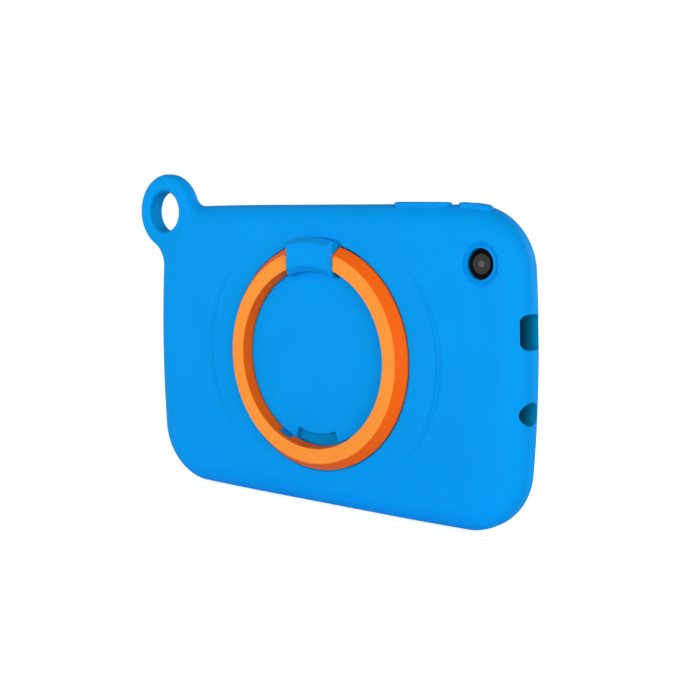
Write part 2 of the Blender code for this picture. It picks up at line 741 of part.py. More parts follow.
def camera_dish():
    """Cutter for the camera hole: a shallow dish down to a straight bore."""
    bore = BEZEL_RADIUS + 1.5 * GAP
    steps = 5
    profile = [(0.0, DISH_WIDTH), (bore + DISH_WIDTH, DISH_WIDTH)]
    for i in range(steps + 1):
        share = i / steps
        profile.append((bore + DISH_WIDTH * (1 - share) ** 1.5, -DISH_DEPTH * share))
    profile += [(bore, -BACK_WALL - OVERCUT), (0.0, -BACK_WALL - OVERCUT)]
    return turned("camera_dish", profile, (CAMERA_X, CASE_BACK, CAMERA_Z), steps=28)


# ---------------------------------------------------------------- openings in the case's walls

def tablet_cavity():
    """Cutter for the room that the tablet fills."""
    return plate("tablet_cavity", tablet_outline(-GAP), TABLET_BACK - GAP, TABLET_FRONT + GAP)


def screen_window():
    """Cutter for the front opening, flared at the lip's edge."""
    straight = tablet_outline(LIP_OVERLAP)
    flared = tablet_outline(LIP_OVERLAP - LIP_FLARE)
    levels = ((straight, TABLET_FRONT - GAP), (straight, CASE_FRONT - LIP_DEPTH / 2), (flared, CASE_FRONT),
              (flared, CASE_FRONT + OVERCUT))
    return upright_loft("screen_window", levels)


def side_hole(name, radius, y, z, inside, outside, segments=24):
    """Round cutter through a side wall."""
    return cylinder(name, radius, outside - inside, ((inside + outside) / 2, y, z), TO_SIDE, segments)


def port_cutters():
    """Cutters for the USB and headphone openings in the right wall."""
    inside = TABLET_RIGHT - GAP
    outside = HALF_LENGTH + SIDE_BOW + OVERCUT
    y = PORT_Y + PORT_CUT_SHIFT
    outline = rounded_rectangle(USB_CUT[0] / 2, USB_CUT[1] / 2, USB_CUT_CORNER, 4, (y, CENTRE_Z + USB_RISE))
    usb = plate("usb_opening", outline, inside, outside, "X")
    jack = side_hole("jack_opening", JACK_CUT_RADIUS, y, CENTRE_Z + JACK_RISE, inside, outside, 28)
    return usb, jack


def speaker_cutters(name, inside, outside):
    """Cutters for a stack of slots through the left wall."""
    cutters = []
    length, width = SPEAKER_SLOT
    for i in range(SPEAKER_SLOTS):
        z = CENTRE_Z + SPEAKER_PITCH * (i - (SPEAKER_SLOTS - 1) / 2)
        outline = moved(pill(length / 2, width / 2, 3), PORT_Y, z)
        cutters.append(plate(f"{name}_{i + 1}", outline, -outside, -inside, "X"))
    return cutters


def follow_top(outline, rise):
    """The outline lifted to a height above the case's curved top edge."""
    return [(x, y, case_top(x) + rise) for x, y in outline]


def button_window(name, span, travel):
    """Cutters for a button: a pocket for its cover and a slot for its stem."""
    floor = -BUTTON_PLUG - travel - GAP
    outline = button_outline(span, BUTTON_WIDTH, BUTTON_GAP)
    pocket = loft(name + "_pocket", [follow_top(outline, floor), follow_top(outline, BUTTON_PLUG)])
    slot = plate(name + "_slot", button_outline(widened(span, -STEM_INSET), STEM_WIDTH, BUTTON_GAP),
                 TABLET_TOP - GAP, CENTRE_Z + HALF_HEIGHT - STEM_ROOT, "Z")
    return pocket, slot


def bumper_case():
    """The whole case."""
    case = case_body()
    cut(case, cylinder("corner_hole", LOOP_HOLE + GAP, 4 * LOOP_DEPTH, loop_place(), segments=28))
    loop = corner_loop()
    cut(loop, loop_hole())
    join(case, loop)
    join(case, crescent("crescent_left", -1), crescent("crescent_right", 1))
    cut(case, ring_groove(), swing_relief())
    join(case, lug("lug_left", -1), lug("lug_right", 1))
    cut(case, finger_recess(), tablet_cavity(), screen_window(), camera_dish())
    cut(case, *port_cutters())
    cut(case, *speaker_cutters("case_speaker_slot", TABLET_RIGHT - GAP, HALF_LENGTH + SIDE_BOW + OVERCUT))
    cut(case, *button_window("volume", VOLUME_SPAN, BUTTON_GAP))
    cut(case, *button_window("power", POWER_SPAN, POWER_TRAVEL))
    cut(case, *anchor_cutters())
    smooth(case)


# ---------------------------------------------------------------- ring stand

def ring_stand():
    """Ring with a sloped outer side, cut for the saddle and bridged by its straight axle."""
    slope_top = RING_OUTER - RING_SLOPE
    base_inner = RING_INNER - RING_DRAFT
    profile = ((slope_top - RING_EDGE, RING_HEIGHT), (slope_top + RING_EDGE / 2, RING_HEIGHT - RING_EDGE),
               (RING_OUTER, RING_EDGE), (RING_OUTER, -RING_FOOT), (base_inner, -RING_FOOT),
               (RING_INNER, RING_HEIGHT - RING_EDGE), (RING_INNER + RING_EDGE, RING_HEIGHT))
    ring = turned("ring_stand", profile, (0.0, CASE_BACK, RING_Z), "ring_orange", steps=80, closed=True)
    end = SADDLE_HALF_WIDTH + GAP
    reach = 2 * RING_HEIGHT
    throat = box("ring_throat", (-end, CASE_BACK - reach, RING_Z),
                 (end, CASE_BACK + reach, RING_Z + RING_OUTER + reach))
    cut(ring, throat)
    for side, name in ((-1, "notch_left"), (1, "notch_right")):
        sector = notch_sector(side, base_inner - OVERCUT, RING_INNER + NOTCH_REACH, 0.0)
        cut(ring, plate(name, sector, CASE_BACK - NOTCH_HEIGHT, CASE_BACK + reach))
    axle = cylinder("ring_axle", AXLE_RADIUS, 2 * (end + AXLE_GRIP), HINGE, TO_SIDE, 20)
    join(ring, axle)
    smooth(ring)
    return ring


# ---------------------------------------------------------------- saddle, anchor plate and screws

def screw(name, place, length):
    """Small flat-headed screw; the head sits on the place and the shank runs towards the back."""
    head_radius, head_height = SCREW_HEAD
    point = SCREW_RADIUS * 0.6
    profile = ((0.0, length), (point, length), (SCREW_RADIUS, length - point), (SCREW_RADIUS, 0.0),
               (head_radius, 0.0), (head_radius, -head_height * 0.6), (head_radius * 0.8, -head_height),
               (0.0, -head_height))
    return turned(name, profile, place, "steel", steps=10)


def post_places():
    """World X and Z of the saddle's three posts."""
    return [(x, HINGE.z + z) for x, z in POST_PLACES]


def saddle_hump():
    """Turned hump that the saddle is cut from."""
    inner = RING_INNER - SADDLE_REACH_IN
    outer = RING_OUTER + SADDLE_REACH_OUT
    inner_round, outer_round = SADDLE_ROUNDS
    crown = SADDLE_HEIGHT - SADDLE_KNEE
    steps = 5
    profile = [(outer - outer_round * (1 - sine), SADDLE_KNEE + crown * cosine)
               for sine, cosine in quarter(steps)]
    profile += [(outer, GAP), (inner, GAP)]
    profile += [(inner + inner_round * (1 - cosine), SADDLE_KNEE + crown * sine)
                for sine, cosine in quarter(steps)]
    return turned("hinge_saddle", profile, (0.0, CASE_BACK, RING_Z), "case_blue", steps=96, closed=True)


def hinge_saddle():
    """Saddle over the axle: a piece of the hump with leaning ends, three posts and a channel."""
    saddle = saddle_hump()
    sides = ((SADDLE_HALF_WIDTH, -SADDLE_HEIGHT), (SADDLE_HALF_WIDTH, SADDLE_SHOULDER),
             (SADDLE_FACE_HALF, SADDLE_HEIGHT), (SADDLE_FACE_HALF, 2 * SADDLE_HEIGHT))
    outline = [(x, CASE_BACK - height) for x, height in sides]
    outline += [(-x, CASE_BACK - height) for x, height in reversed(sides)]
    block = plate("saddle_sides", outline, RING_Z + RING_INNER / 2, RING_Z + 1.5 * RING_OUTER, "Z")
    combine(saddle, block, "INTERSECT")
    floor = CASE_BACK + BACK_WALL - ANCHOR_POCKET
    top = CASE_BACK - POST_ROOT
    for i, (x, z) in enumerate(post_places()):
        join(saddle, cylinder(f"saddle_post_{i + 1}", POST_RADIUS, floor - top, (x, (top + floor) / 2, z),
                              segments=16))
    channel = AXLE_RADIUS + GAP
    length = 2 * SADDLE_HALF_WIDTH + OVERCUT
    bore = cylinder("axle_channel", channel, length, HINGE, TO_SIDE)
    slot = box("axle_slot", (-length / 2, HINGE.y, HINGE.z - channel),
               (length / 2, CASE_BACK, HINGE.z + channel))
    cut(saddle, bore, slot)
    front = anchor_levels()[1]
    depth = SADDLE_SCREW_LENGTH + GAP
    for i, (x, z) in enumerate(post_places()):
        cut(saddle, cylinder(f"saddle_tap_{i + 1}", SCREW_RADIUS + GAP, depth, (x, front - depth / 2, z),
                             segments=12))
    smooth(saddle)


def anchor_levels():
    """Back and front of the anchor plate inside its pocket."""
    back = CASE_BACK + BACK_WALL - ANCHOR_POCKET + GAP
    return back, back + ANCHOR_DEPTH


def anchor_cutters():
    """Cutters for the anchor plate's pocket and the saddle's post holes."""
    floor = CASE_BACK + BACK_WALL - ANCHOR_POCKET
    half_x, half_z = ANCHOR_HALF
    outline = rounded_rectangle(half_x + GAP, half_z + GAP, ANCHOR_CORNER + GAP, 3, (0.0, HINGE.z))
    cutters = [plate("anchor_pocket", outline, floor, CASE_BACK + BACK_WALL + OVERCUT / 2)]
    for i, (x, z) in enumerate(post_places()):
        cutters.append(cylinder(f"post_hole_{i + 1}", POST_RADIUS + GAP, 2 * BACK_WALL, (x, CASE_BACK, z),
                                segments=16))
    return cutters


def saddle_anchor():
    """Steel plate in the case's back wall, and the three screws that pull the saddle to it."""
    back, front = anchor_levels()
    half_x, half_z = ANCHOR_HALF
    outline = rounded_rectangle(half_x, half_z, ANCHOR_CORNER, 3, (0.0, HINGE.z))
    anchor = plate("saddle_anchor_plate", outline, back, front, finish="steel")
    hole = SCREW_RADIUS + GAP
    for i, (x, z) in enumerate(post_places()):
        cut(anchor, cylinder(f"anchor_hole_{i + 1}", hole, BACK_WALL, (x, back, z), segments=12))
        screw(f"saddle_screw_{i + 1}", (x, front + GAP, z), SADDLE_SCREW_LENGTH)


# ---------------------------------------------------------------- buttons

def button_cover(name, span):
    """Soft cover with a domed rim that follows the case's top edge, and its stem."""
    domed = ((0.0, -BUTTON_PLUG), (0.0, BUTTON_RISE * 0.3), (0.0002, BUTTON_RISE * 0.65),
             (0.0006, BUTTON_RISE * 0.9), (0.0012, BUTTON_RISE))
    cover = loft(name + "_cover", [follow_top(button_outline(span, BUTTON_WIDTH, -inset), rise)
                                   for inset, rise in domed], "case_blue")
    stem = plate(name + "_stem", button_outline(widened(span, -STEM_INSET), STEM_WIDTH),
                 TABLET_TOP + KEY_PROUD + GAP, CENTRE_Z + HALF_HEIGHT - BUTTON_PLUG + STEM_ROOT, "Z")
    join(cover, stem)
    smooth(cover)
    return cover


def flange_span(span):
    """Ends of the key's flange, under the rear cover's wall."""
    return widened(span, KEY_FLANGE[0] - STEM_INSET)


def flange_levels():
    """Foot and head of the keys' flanges."""
    head = TABLET_TOP - COVER_WALL - GAP
    return head - KEY_FLANGE[1], head


def tablet_key(name, span):
    """Hard key in the tablet's wall, with the flange that keeps it from falling out."""
    foot, head = flange_levels()
    key = plate(name + "_key", button_outline(widened(span, -STEM_INSET), STEM_WIDTH), foot,
                TABLET_TOP + KEY_PROUD, "Z", "plastic_black")
    join(key, plate(name + "_flange", button_outline(flange_span(span), STEM_WIDTH), foot, head, "Z"))
    return key


# ---------------------------------------------------------------- tablet shells

def boss(name, place, high):
    """Screw boss on the rear cover's inside: the post and the cutter for its bore."""
    x, z = place
    low = TABLET_BACK + COVER_BACK / 2
    post = cylinder(name, BOSS_RADIUS, high - low, (x, (low + high) / 2, z), segments=14)
    top = high + OVERCUT
    bore = cylinder(name + "_bore", SCREW_RADIUS + GAP, top - COVER_INSIDE, (x, (top + COVER_INSIDE) / 2, z),
                    segments=10)
    return post, bore


def hollow_cover():
    """Rear shell of the tablet, round at its back edge, before anything is added."""
    levels = [(COVER_ROUND * (1 - sine), TABLET_BACK + COVER_ROUND * (1 - cosine))
              for sine, cosine in quarter(3)]
    levels.append((0.0, COVER_TOP))
    cover = upright_loft("rear_cover", [(tablet_outline(inset), y) for inset, y in levels], "plastic_black")
    inner_round = COVER_ROUND - COVER_BACK
    room = [(COVER_WALL + inner_round * (1 - sine), COVER_INSIDE + inner_round * (1 - cosine))
            for sine, cosine in quarter(2)]
    room.append((COVER_WALL, COVER_TOP + OVERCUT))
    cut(cover, upright_loft("cover_room", [(tablet_outline(inset), y) for inset, y in room]))
    return cover


def cover_openings():
    """Cutters for the rear cover's ports, speaker slots, key slots and camera hole."""
    outside = TABLET_RIGHT + OVERCUT
    inside = TABLET_RIGHT - COVER_WALL - OVERCUT
    usb = plate("usb_mouth", usb_outline(-GAP), inside, outside, "X")
    jack = side_hole("jack_mouth", JACK_BODY[1] / 2 + GAP, PORT_Y, CENTRE_Z + JACK_RISE, inside, outside)
    mic_z = CENTRE_Z + USB_RISE - MIC_DROP
    mic = side_hole("mic_mouth", MIC_BORE, BOARD_FRONT + GAP + CHIP_HEIGHT / 2, mic_z, inside, outside, 8)
    cutters = [usb, jack, mic]
    cutters += speaker_cutters("cover_speaker_slot", inside, outside)
    for name, span in (("volume", VOLUME_SPAN), ("power", POWER_SPAN)):
        outline = button_outline(widened(span, -STEM_INSET), STEM_WIDTH, GAP)
        cutters.append(plate(name + "_key_slot", outline, TABLET_TOP - COVER_WALL - OVERCUT,
                             TABLET_TOP + OVERCUT, "Z"))
    cutters.append(cylinder("camera_mouth", barrel_radius() + GAP, 2 * TABLET_DEPTH,
                            (CAMERA_X, TABLET_BACK, CAMERA_Z)))
    return cutters


def rear_cover():
    """Rear shell of the tablet, with its bosses and openings."""
    cover = hollow_cover()
    bores = []
    for kind, places, seat in (("frame", FRAME_SCREWS, FRAME_BACK), ("board", BOARD_SCREWS, BOARD_BACK)):
        for i, place in enumerate(places):
            post, bore = boss(f"{kind}_boss_{i + 1}", place, seat - GAP)
            join(cover, post)
            bores.append(bore)
    cut(cover, *bores)
    cut(cover, *cover_openings())
    smooth(cover)


def mid_frame():
    """Tray that carries the display, screwed to the rear cover's bosses."""
    inset = COVER_WALL + GAP
    frame = plate("mid_frame", tablet_outline(inset), FRAME_BACK, COVER_TOP, finish="plastic_grey")
    cut(frame, plate("frame_room", tablet_outline(inset + FRAME_RIM), FRAME_BACK + FRAME_PLATE,
                     COVER_TOP + OVERCUT))
    below = FRAME_BACK - OVERCUT
    cut(frame, box("port_notch",
                   (DISPLAY_HALF[0] + GAP, below, CENTRE_Z + JACK_RISE - JACK_BODY[2] / 2 - 3 * GAP),
                   (TABLET_RIGHT, COVER_TOP + OVERCUT, CENTRE_Z + USB_RISE + USB_BODY[2] / 2 + 3 * GAP)))
    half = CAMERA_BODY[0] / 2 + 2 * GAP
    cut(frame, box("camera_notch", (CAMERA_X - half, below, CAMERA_Z - half),
                   (CAMERA_X + half, FRAME_BACK + FRAME_PLATE + GAP, CAMERA_Z + half)))
    foot = CENTRE_Z - DISPLAY_HALF[1]
    left, right = widened(ribbon_span(), 3 * GAP)
    cut(frame, box("ribbon_slot", (left, below, foot - 10 * RIBBON_DEPTH),
                   (right, DISPLAY_BACK, foot - GAP / 2)))
    foot, head = flange_levels()
    for name, span in (("volume", VOLUME_SPAN), ("power", POWER_SPAN)):
        cut(frame, plate(name + "_key_notch", button_outline(flange_span(span), STEM_WIDTH, GAP), foot - GAP,
                         head + OVERCUT, "Z"))
    for i, (x, z) in enumerate(FRAME_SCREWS):
        cut(frame, cylinder(f"frame_hole_{i + 1}", SCREW_RADIUS + GAP, 4 * FRAME_PLATE, (x, FRAME_BACK, z),
                            segments=10))
    smooth(frame)


def touch_glass():
    """Cover glass over the whole front."""
    glass = plate("touch_glass", tablet_outline(GAP), TABLET_FRONT - GLASS_DEPTH, TABLET_FRONT,
                  finish="glass_black", round_edge=GLASS_ROUND)
    smooth(glass)


def display_panel():
    """Display module in the mid frame's tray."""
    half_x, half_z = DISPLAY_HALF
    box("display_panel", (-half_x, DISPLAY_BACK, CENTRE_Z - half_z),
        (half_x, DISPLAY_BACK + DISPLAY_DEPTH, CENTRE_Z + half_z), "display_dark")


# ---------------------------------------------------------------- tablet insides

def battery():
    """Flat battery pack that fills the room beside the board."""
    left = BATTERY_LEFT - TABLET_RIGHT
    right = BOARD_LEFT - BATTERY_TO_BOARD
    rounded_box("battery", (left, COVER_INSIDE + GAP, TABLET_FOOT + BATTERY_ENDS[0]),
                (right, FRAME_BACK - GAP, TABLET_TOP - BATTERY_ENDS[1]), BATTERY_ROUND, "battery_silver")


def battery_lead():
    """Flat lead from the battery to its connector on the board."""
    length, width = BATTERY_PLUG
    start = BOARD_LEFT - BATTERY_TO_BOARD + GAP
    end = BOARD_LEFT + length / 2
    back = BOARD_FRONT + GAP
    box("battery_ribbon", (start, back + GAP, CENTRE_Z - width / 2 + GAP),
        (end - GAP, back + GAP + RIBBON_DEPTH, CENTRE_Z + width / 2 - GAP), "ribbon_amber")
    box("battery_connector", (end, back, CENTRE_Z - width / 2),
        (end + length, back + CHIP_HEIGHT, CENTRE_Z + width / 2), "plastic_grey")


def main_board():
    """Main board down the port side, notched for the camera, the headphone socket and the bosses."""
    board = box("main_board", (BOARD_LEFT, BOARD_BACK, BOARD_FOOT), (BOARD_RIGHT, BOARD_FRONT, BOARD_TOP),
                "board_green")
    low, high = BOARD_BACK - OVERCUT, BOARD_FRONT + OVERCUT
    right = BOARD_RIGHT + OVERCUT
    half = CAMERA_BODY[0] / 2 + 2 * GAP
    cut(board, box("board_camera_notch", (CAMERA_X - half, low, CAMERA_Z - half),
                   (right, high, BOARD_TOP + OVERCUT)))
    jack_left = TABLET_RIGHT - PORT_INSET - JACK_BODY[0] - GAP
    jack_half = JACK_BODY[2] / 2 + GAP
    jack_z = CENTRE_Z + JACK_RISE
    cut(board, box("board_jack_notch", (jack_left, low, jack_z - jack_half),
                   (right, high, jack_z + jack_half)))
    clear = BOSS_RADIUS + GAP
    foot_x, foot_z = FRAME_SCREWS[2]
    cut(board, box("board_foot_notch", (foot_x - clear, low, BOARD_FOOT - OVERCUT),
                   (right, high, foot_z + clear)))
    port_x, port_z = FRAME_SCREWS[3]
    cut(board, box("board_port_notch", (port_x - clear, low, port_z - clear), (right, high, port_z + clear)))
    for i, (x, z) in enumerate(BOARD_SCREWS):
        cut(board, cylinder(f"board_hole_{i + 1}", SCREW_RADIUS + GAP, 4 * BOARD_DEPTH, (x, BOARD_BACK, z),
                            segments=10))


def board_block(name, spans, datum, finish):
    """Block that is soldered to the board, over spans from its left edge and from a datum height."""
    (left, right), (low, high) = spans
    back = BOARD_FRONT + GAP
    box(name, (BOARD_LEFT + left, back, datum + low),
        (BOARD_LEFT + right, back + CHIP_HEIGHT, datum + high), finish)


def usb_outline(inset):
    """Outline in YZ of the USB socket's shell, drawn in by the inset."""
    half_y = USB_BODY[1] / 2 - inset
    half_z = USB_BODY[2] / 2 - inset
    return rounded_rectangle(half_y, half_z, half_y * 0.5, 3, (PORT_Y, CENTRE_Z + USB_RISE))


def usb_socket():
    """Tin shell of the USB socket, with its mouth and tongue."""
    length, height, width = USB_BODY
    right = TABLET_RIGHT - PORT_INSET
    left = right - length
    z = CENTRE_Z + USB_RISE
    socket = plate("usb_socket", usb_outline(0.0), left, right, "X", "tin")
    cut(socket, plate("usb_room", usb_outline(USB_WALL), left + 3 * USB_WALL, right + OVERCUT, "X"))
    half_tongue = width / 2 - 5 * USB_WALL
    join(socket, box("usb_tongue", (left + USB_WALL, PORT_Y - USB_WALL, z - half_tongue),
                     (right - 4 * USB_WALL, PORT_Y + USB_WALL, z + half_tongue)))


def headphone_socket():
    """Headphone socket: a block with a round nose and a bore."""
    length, height, width = JACK_BODY
    right = TABLET_RIGHT - PORT_INSET
    z = CENTRE_Z + JACK_RISE
    inner = TABLET_RIGHT - COVER_WALL - GAP
    socket = box("headphone_socket", (right - length, PORT_Y - height / 2, z - width / 2),
                 (inner, PORT_Y + height / 2, z + width / 2), "plastic_black")
    join(socket, side_hole("jack_nose", height / 2, PORT_Y, z, right - length / 2, right))
    bore_end = right - length + COVER_WALL
    cut(socket, side_hole("jack_bore", JACK_BORE, PORT_Y, z, bore_end, right + OVERCUT, 16))


def microphone():
    """Microphone on the board's edge, beside its hole in the cover."""
    z = CENTRE_Z + USB_RISE - MIC_DROP
    back = BOARD_FRONT + GAP
    half = CHIP_HEIGHT
    box("microphone", (BOARD_RIGHT - 3 * half, back, z - half),
        (BOARD_RIGHT, back + CHIP_HEIGHT, z + MIC_BORE), "tin")


def front_camera():
    """Camera module behind the glass, in the frame's port notch."""
    side, in_from_right = FRONT_CAMERA
    x = TABLET_RIGHT - in_from_right
    rounded_box("front_camera_module", (x - side / 2, FRAME_BACK - FRAME_PLATE, CENTRE_Z - side / 2),
                (x + side / 2, COVER_TOP, CENTRE_Z + side / 2), GAP, "plastic_black")


def speaker():
    """Speaker box against the left wall, with its mouth behind the slots."""
    length, height = SPEAKER_BODY
    left = -TABLET_RIGHT + COVER_WALL + GAP
    body = rounded_box("speaker_module", (left, COVER_INSIDE + GAP, CENTRE_Z - height / 2),
                       (left + length, FRAME_BACK - GAP, CENTRE_Z + height / 2), 2 * GAP, "plastic_black")
    mouth = SPEAKER_PITCH * SPEAKER_SLOTS / 2
    half = SPEAKER_SLOT[1] / 2
    cut(body, box("speaker_mouth", (left - OVERCUT, PORT_Y - half, CENTRE_Z - mouth),
                  (left + length / 4, PORT_Y + half, CENTRE_Z + mouth)))


def wifi_antenna():
    """Flat antenna on the rear cover, above the battery."""
    height, depth = ANTENNA_SIZE
    back = COVER_INSIDE + GAP
    top = TABLET_TOP - COVER_WALL - BOARD_END + GAP
    box("wifi_antenna", (ANTENNA_SPAN[0], back, top - height), (ANTENNA_SPAN[1], back + depth, top),
        "ribbon_amber")


def barrel_radius():
    """Radius of the rear camera's barrel."""
    return BEZEL_RADIUS - BEZEL_RIM - WINDOW_SHELF - GAP


def rear_camera():
    """Camera module, the black bezel on the rear cover and the clear window in it."""
    foot = TABLET_BACK - GAP
    height = foot - CASE_BACK - BEZEL_SUNK
    bore = BEZEL_RADIUS - BEZEL_RIM
    shelf = bore - WINDOW_SHELF
    shelf_height = height - BEZEL_EDGE - WINDOW_DEPTH - GAP
    profile = ((BEZEL_RADIUS - BEZEL_EDGE, height), (BEZEL_RADIUS, height - BEZEL_EDGE), (BEZEL_RADIUS, 0.0),
               (shelf, 0.0), (shelf, shelf_height), (bore, shelf_height), (bore, height - BEZEL_EDGE),
               (bore + BEZEL_EDGE, height))
    turned("camera_bezel", profile, (CAMERA_X, foot, CAMERA_Z), "plastic_black", steps=32, closed=True)
    window = ((0.0, WINDOW_DEPTH), (bore - GAP, WINDOW_DEPTH), (bore - GAP, 0.0), (0.0, 0.0))
    turned("camera_window", window, (CAMERA_X, foot - shelf_height - GAP, CAMERA_Z), "lens_glass", steps=32)
    side, depth = CAMERA_BODY
    back = COVER_INSIDE + GAP
    module = box("rear_camera_module", (CAMERA_X - side / 2, back, CAMERA_Z - side / 2),
                 (CAMERA_X + side / 2, back + depth, CAMERA_Z + side / 2), "plastic_black")
    tip = foot - shelf_height + GAP
    root = back + depth / 3
    middle = (CAMERA_X, (tip + root) / 2, CAMERA_Z)
    join(module, cylinder("camera_barrel", barrel_radius(), root - tip, middle))


def button_board():
    """Narrow board under the keys, with a dome switch under each end of the rocker and the power key."""
    radius, dome = SWITCH_DOME
    board_top = flange_levels()[0] - POWER_TRAVEL - GAP / 3 - dome - GAP
    power_middle = (POWER_SPAN[0] + POWER_SPAN[1]) / 2
    volume_middle = (VOLUME_SPAN[0] + VOLUME_SPAN[1]) / 2
    box("button_board", (volume_middle - 2 * SWITCH_SPREAD, COVER_INSIDE + GAP, board_top - BUTTON_BOARD),
        (power_middle + 3 * radius, BUTTON_Y + radius, board_top), "board_green")
    for name, x in (("volume_down_switch", volume_middle - SWITCH_SPREAD),
                    ("volume_up_switch", volume_middle + SWITCH_SPREAD), ("power_switch", power_middle)):
        profile = ((0.0, dome), (radius * 0.7, dome * 0.8), (radius, 0.0), (0.0, 0.0))
        turned(name, profile, (x, BUTTON_Y, board_top + GAP), "tin", turn=UPRIGHT, steps=12)


def ribbon_span():
    """Left and right edges of the display's ribbon."""
    middle = BOARD_LEFT + RIBBON_PLACE
    return middle - RIBBON_WIDTH / 2, middle + RIBBON_WIDTH / 2


def display_ribbon():
    """Flat cable from the display's foot, through the mid frame, to its connector on the board."""
    foot = CENTRE_Z - DISPLAY_HALF[1] - GAP
    start_y = DISPLAY_BACK + DISPLAY_DEPTH / 2
    end_y = BOARD_FRONT + CHIP_HEIGHT + 2 * GAP
    radius = (start_y - end_y) / 2
    sag = 0.45 * radius
    steps = 10
    path = [((start_y + end_y) / 2 + radius * cos(pi * i / steps), foot - sag * sin(pi * i / steps))
            for i in range(steps + 1)]
    path.append((end_y, foot + CHIP_HEIGHT + 3 * RIBBON_DEPTH))
    count = len(path)
    mesh = bpy.data.meshes.new("display_ribbon")
    mesh.from_pydata([(x, y, z) for x in ribbon_span() for y, z in path], [],
                     [(i, i + 1, count + i + 1, count + i) for i in range(count - 1)])
    ribbon = add_object("display_ribbon", mesh, "ribbon_amber")
    solid = ribbon.modifiers.new("thickness", "SOLIDIFY")
    solid.thickness = RIBBON_DEPTH
    solid.offset = 0.0
    left, right = widened(ribbon_span(), 3 * GAP)
    back = BOARD_FRONT + GAP
    box("display_connector", (left, back, foot + CHIP_HEIGHT),
        (right, back + CHIP_HEIGHT, foot + 4 * CHIP_HEIGHT), "plastic_grey")


def tablet_screws():
    """Screws of the mid frame and of the main board."""
    for i, (x, z) in enumerate(FRAME_SCREWS):
        screw(f"frame_screw_{i + 1}", (x, FRAME_BACK + FRAME_PLATE + GAP, z), FRAME_SCREW_LENGTH)
    for i, (x, z) in enumerate(BOARD_SCREWS):
        screw(f"board_screw_{i + 1}", (x, BOARD_FRONT + GAP, z), BOARD_SCREW_LENGTH)


# ---------------------------------------------------------------- the whole object

def build():
    """Makes every piece in its place."""
    clear_scene()
    bumper_case()
    hinge_saddle()
    saddle_anchor()
    pivot("ring_hinge", HINGE, ring_stand())
    rock_height = (TABLET_TOP + CENTRE_Z + HALF_HEIGHT) / 2
    for name, joint, span in (("volume", "volume_rock", VOLUME_SPAN), ("power", "power_press", POWER_SPAN)):
        pivot(joint, ((span[0] + span[1]) / 2, BUTTON_Y, rock_height), button_cover(name, span),
              tablet_key(name, span))
    rear_cover()
    mid_frame()
    touch_glass()
    display_panel()
    battery()
    battery_lead()
    main_board()
    board_block("shield_can", SHIELD_SPANS, CENTRE_Z, "tin")
    board_block("card_socket", CARD_SPANS, BOARD_FOOT, "tin")
    usb_socket()
    headphone_socket()
    microphone()
    front_camera()
    speaker()
    wifi_antenna()
    rear_camera()
    button_board()
    display_ribbon()
    tablet_screws()


build()
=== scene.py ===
import json
from math import atan2, cos, pi, radians, sin, sqrt

import bmesh
import bpy
from mathutils import Matrix, Vector


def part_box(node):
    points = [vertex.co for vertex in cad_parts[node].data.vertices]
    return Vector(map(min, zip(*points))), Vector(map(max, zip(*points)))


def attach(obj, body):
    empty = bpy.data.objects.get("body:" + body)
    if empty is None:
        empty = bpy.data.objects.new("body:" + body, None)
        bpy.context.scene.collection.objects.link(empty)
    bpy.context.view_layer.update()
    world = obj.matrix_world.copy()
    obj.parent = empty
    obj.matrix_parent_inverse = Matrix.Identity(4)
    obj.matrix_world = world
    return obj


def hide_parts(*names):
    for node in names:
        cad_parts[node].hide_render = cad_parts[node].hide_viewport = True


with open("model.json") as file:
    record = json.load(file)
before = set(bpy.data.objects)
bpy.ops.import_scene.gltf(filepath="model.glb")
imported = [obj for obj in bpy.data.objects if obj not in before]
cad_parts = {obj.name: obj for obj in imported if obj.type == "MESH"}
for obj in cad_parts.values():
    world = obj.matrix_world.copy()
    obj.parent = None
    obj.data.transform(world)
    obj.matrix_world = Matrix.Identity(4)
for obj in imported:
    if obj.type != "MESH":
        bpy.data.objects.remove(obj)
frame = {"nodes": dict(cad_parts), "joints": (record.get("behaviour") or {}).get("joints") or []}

nodes = frame["nodes"]
joints = {joint["name"]: joint for joint in frame["joints"]}
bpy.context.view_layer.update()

# ---------------- Camera
# A long lens that looks down a little on the back of the tablet, from the side with the ports.

BACK_WALL = 0.0043      # with the gap between the wall and the tablet
LENS_LENGTH = 64.36
CAMERA_SWING, CAMERA_DIP = 39.34, 6.28
CAMERA_REACH = (0.3565, -0.4118, 0.0629)


def middle_and_half(low, high):
    """The middle and the half size of a box, each as x, y and z."""
    return [(a + b) / 2 for a, b in zip(low, high)], [(b - a) / 2 for a, b in zip(low, high)]


tablet_low, tablet_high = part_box("rear_cover")
case_low, case_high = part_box("bumper_case")
ring_low, ring_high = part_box("ring_stand")
tablet_middle, tablet_half = middle_and_half(tablet_low, tablet_high)
centre_z = tablet_middle[2]
back_y = tablet_low.y - BACK_WALL
ring_radius = middle_and_half(ring_low, ring_high)[1][0]
ring_centre = Vector((0.0, back_y, ring_low.z + ring_radius))


def enlist(name, data):
    """A new object in the scene, with its data."""
    made = bpy.data.objects.new(name, data)
    bpy.context.collection.objects.link(made)
    return made


camera_data = bpy.data.cameras.new("camera")
camera_data.lens = LENS_LENGTH
camera_data.clip_start = 0.01
camera = enlist("camera", camera_data)
swing, dip = radians(CAMERA_SWING), radians(CAMERA_DIP)
facing = Vector((-sin(swing) * cos(dip), cos(swing) * cos(dip), -sin(dip)))
camera.location = ring_centre + Vector(CAMERA_REACH)
camera.rotation_euler = facing.to_track_quat("-Z", "Y").to_euler()
bpy.context.scene.camera = camera

# ---------------- Studio
# White room: soft light from all round that is weaker from above, a large panel in front of the back,
# one for the side with the ports, one for the screen side, and a floor that shows the shadow.

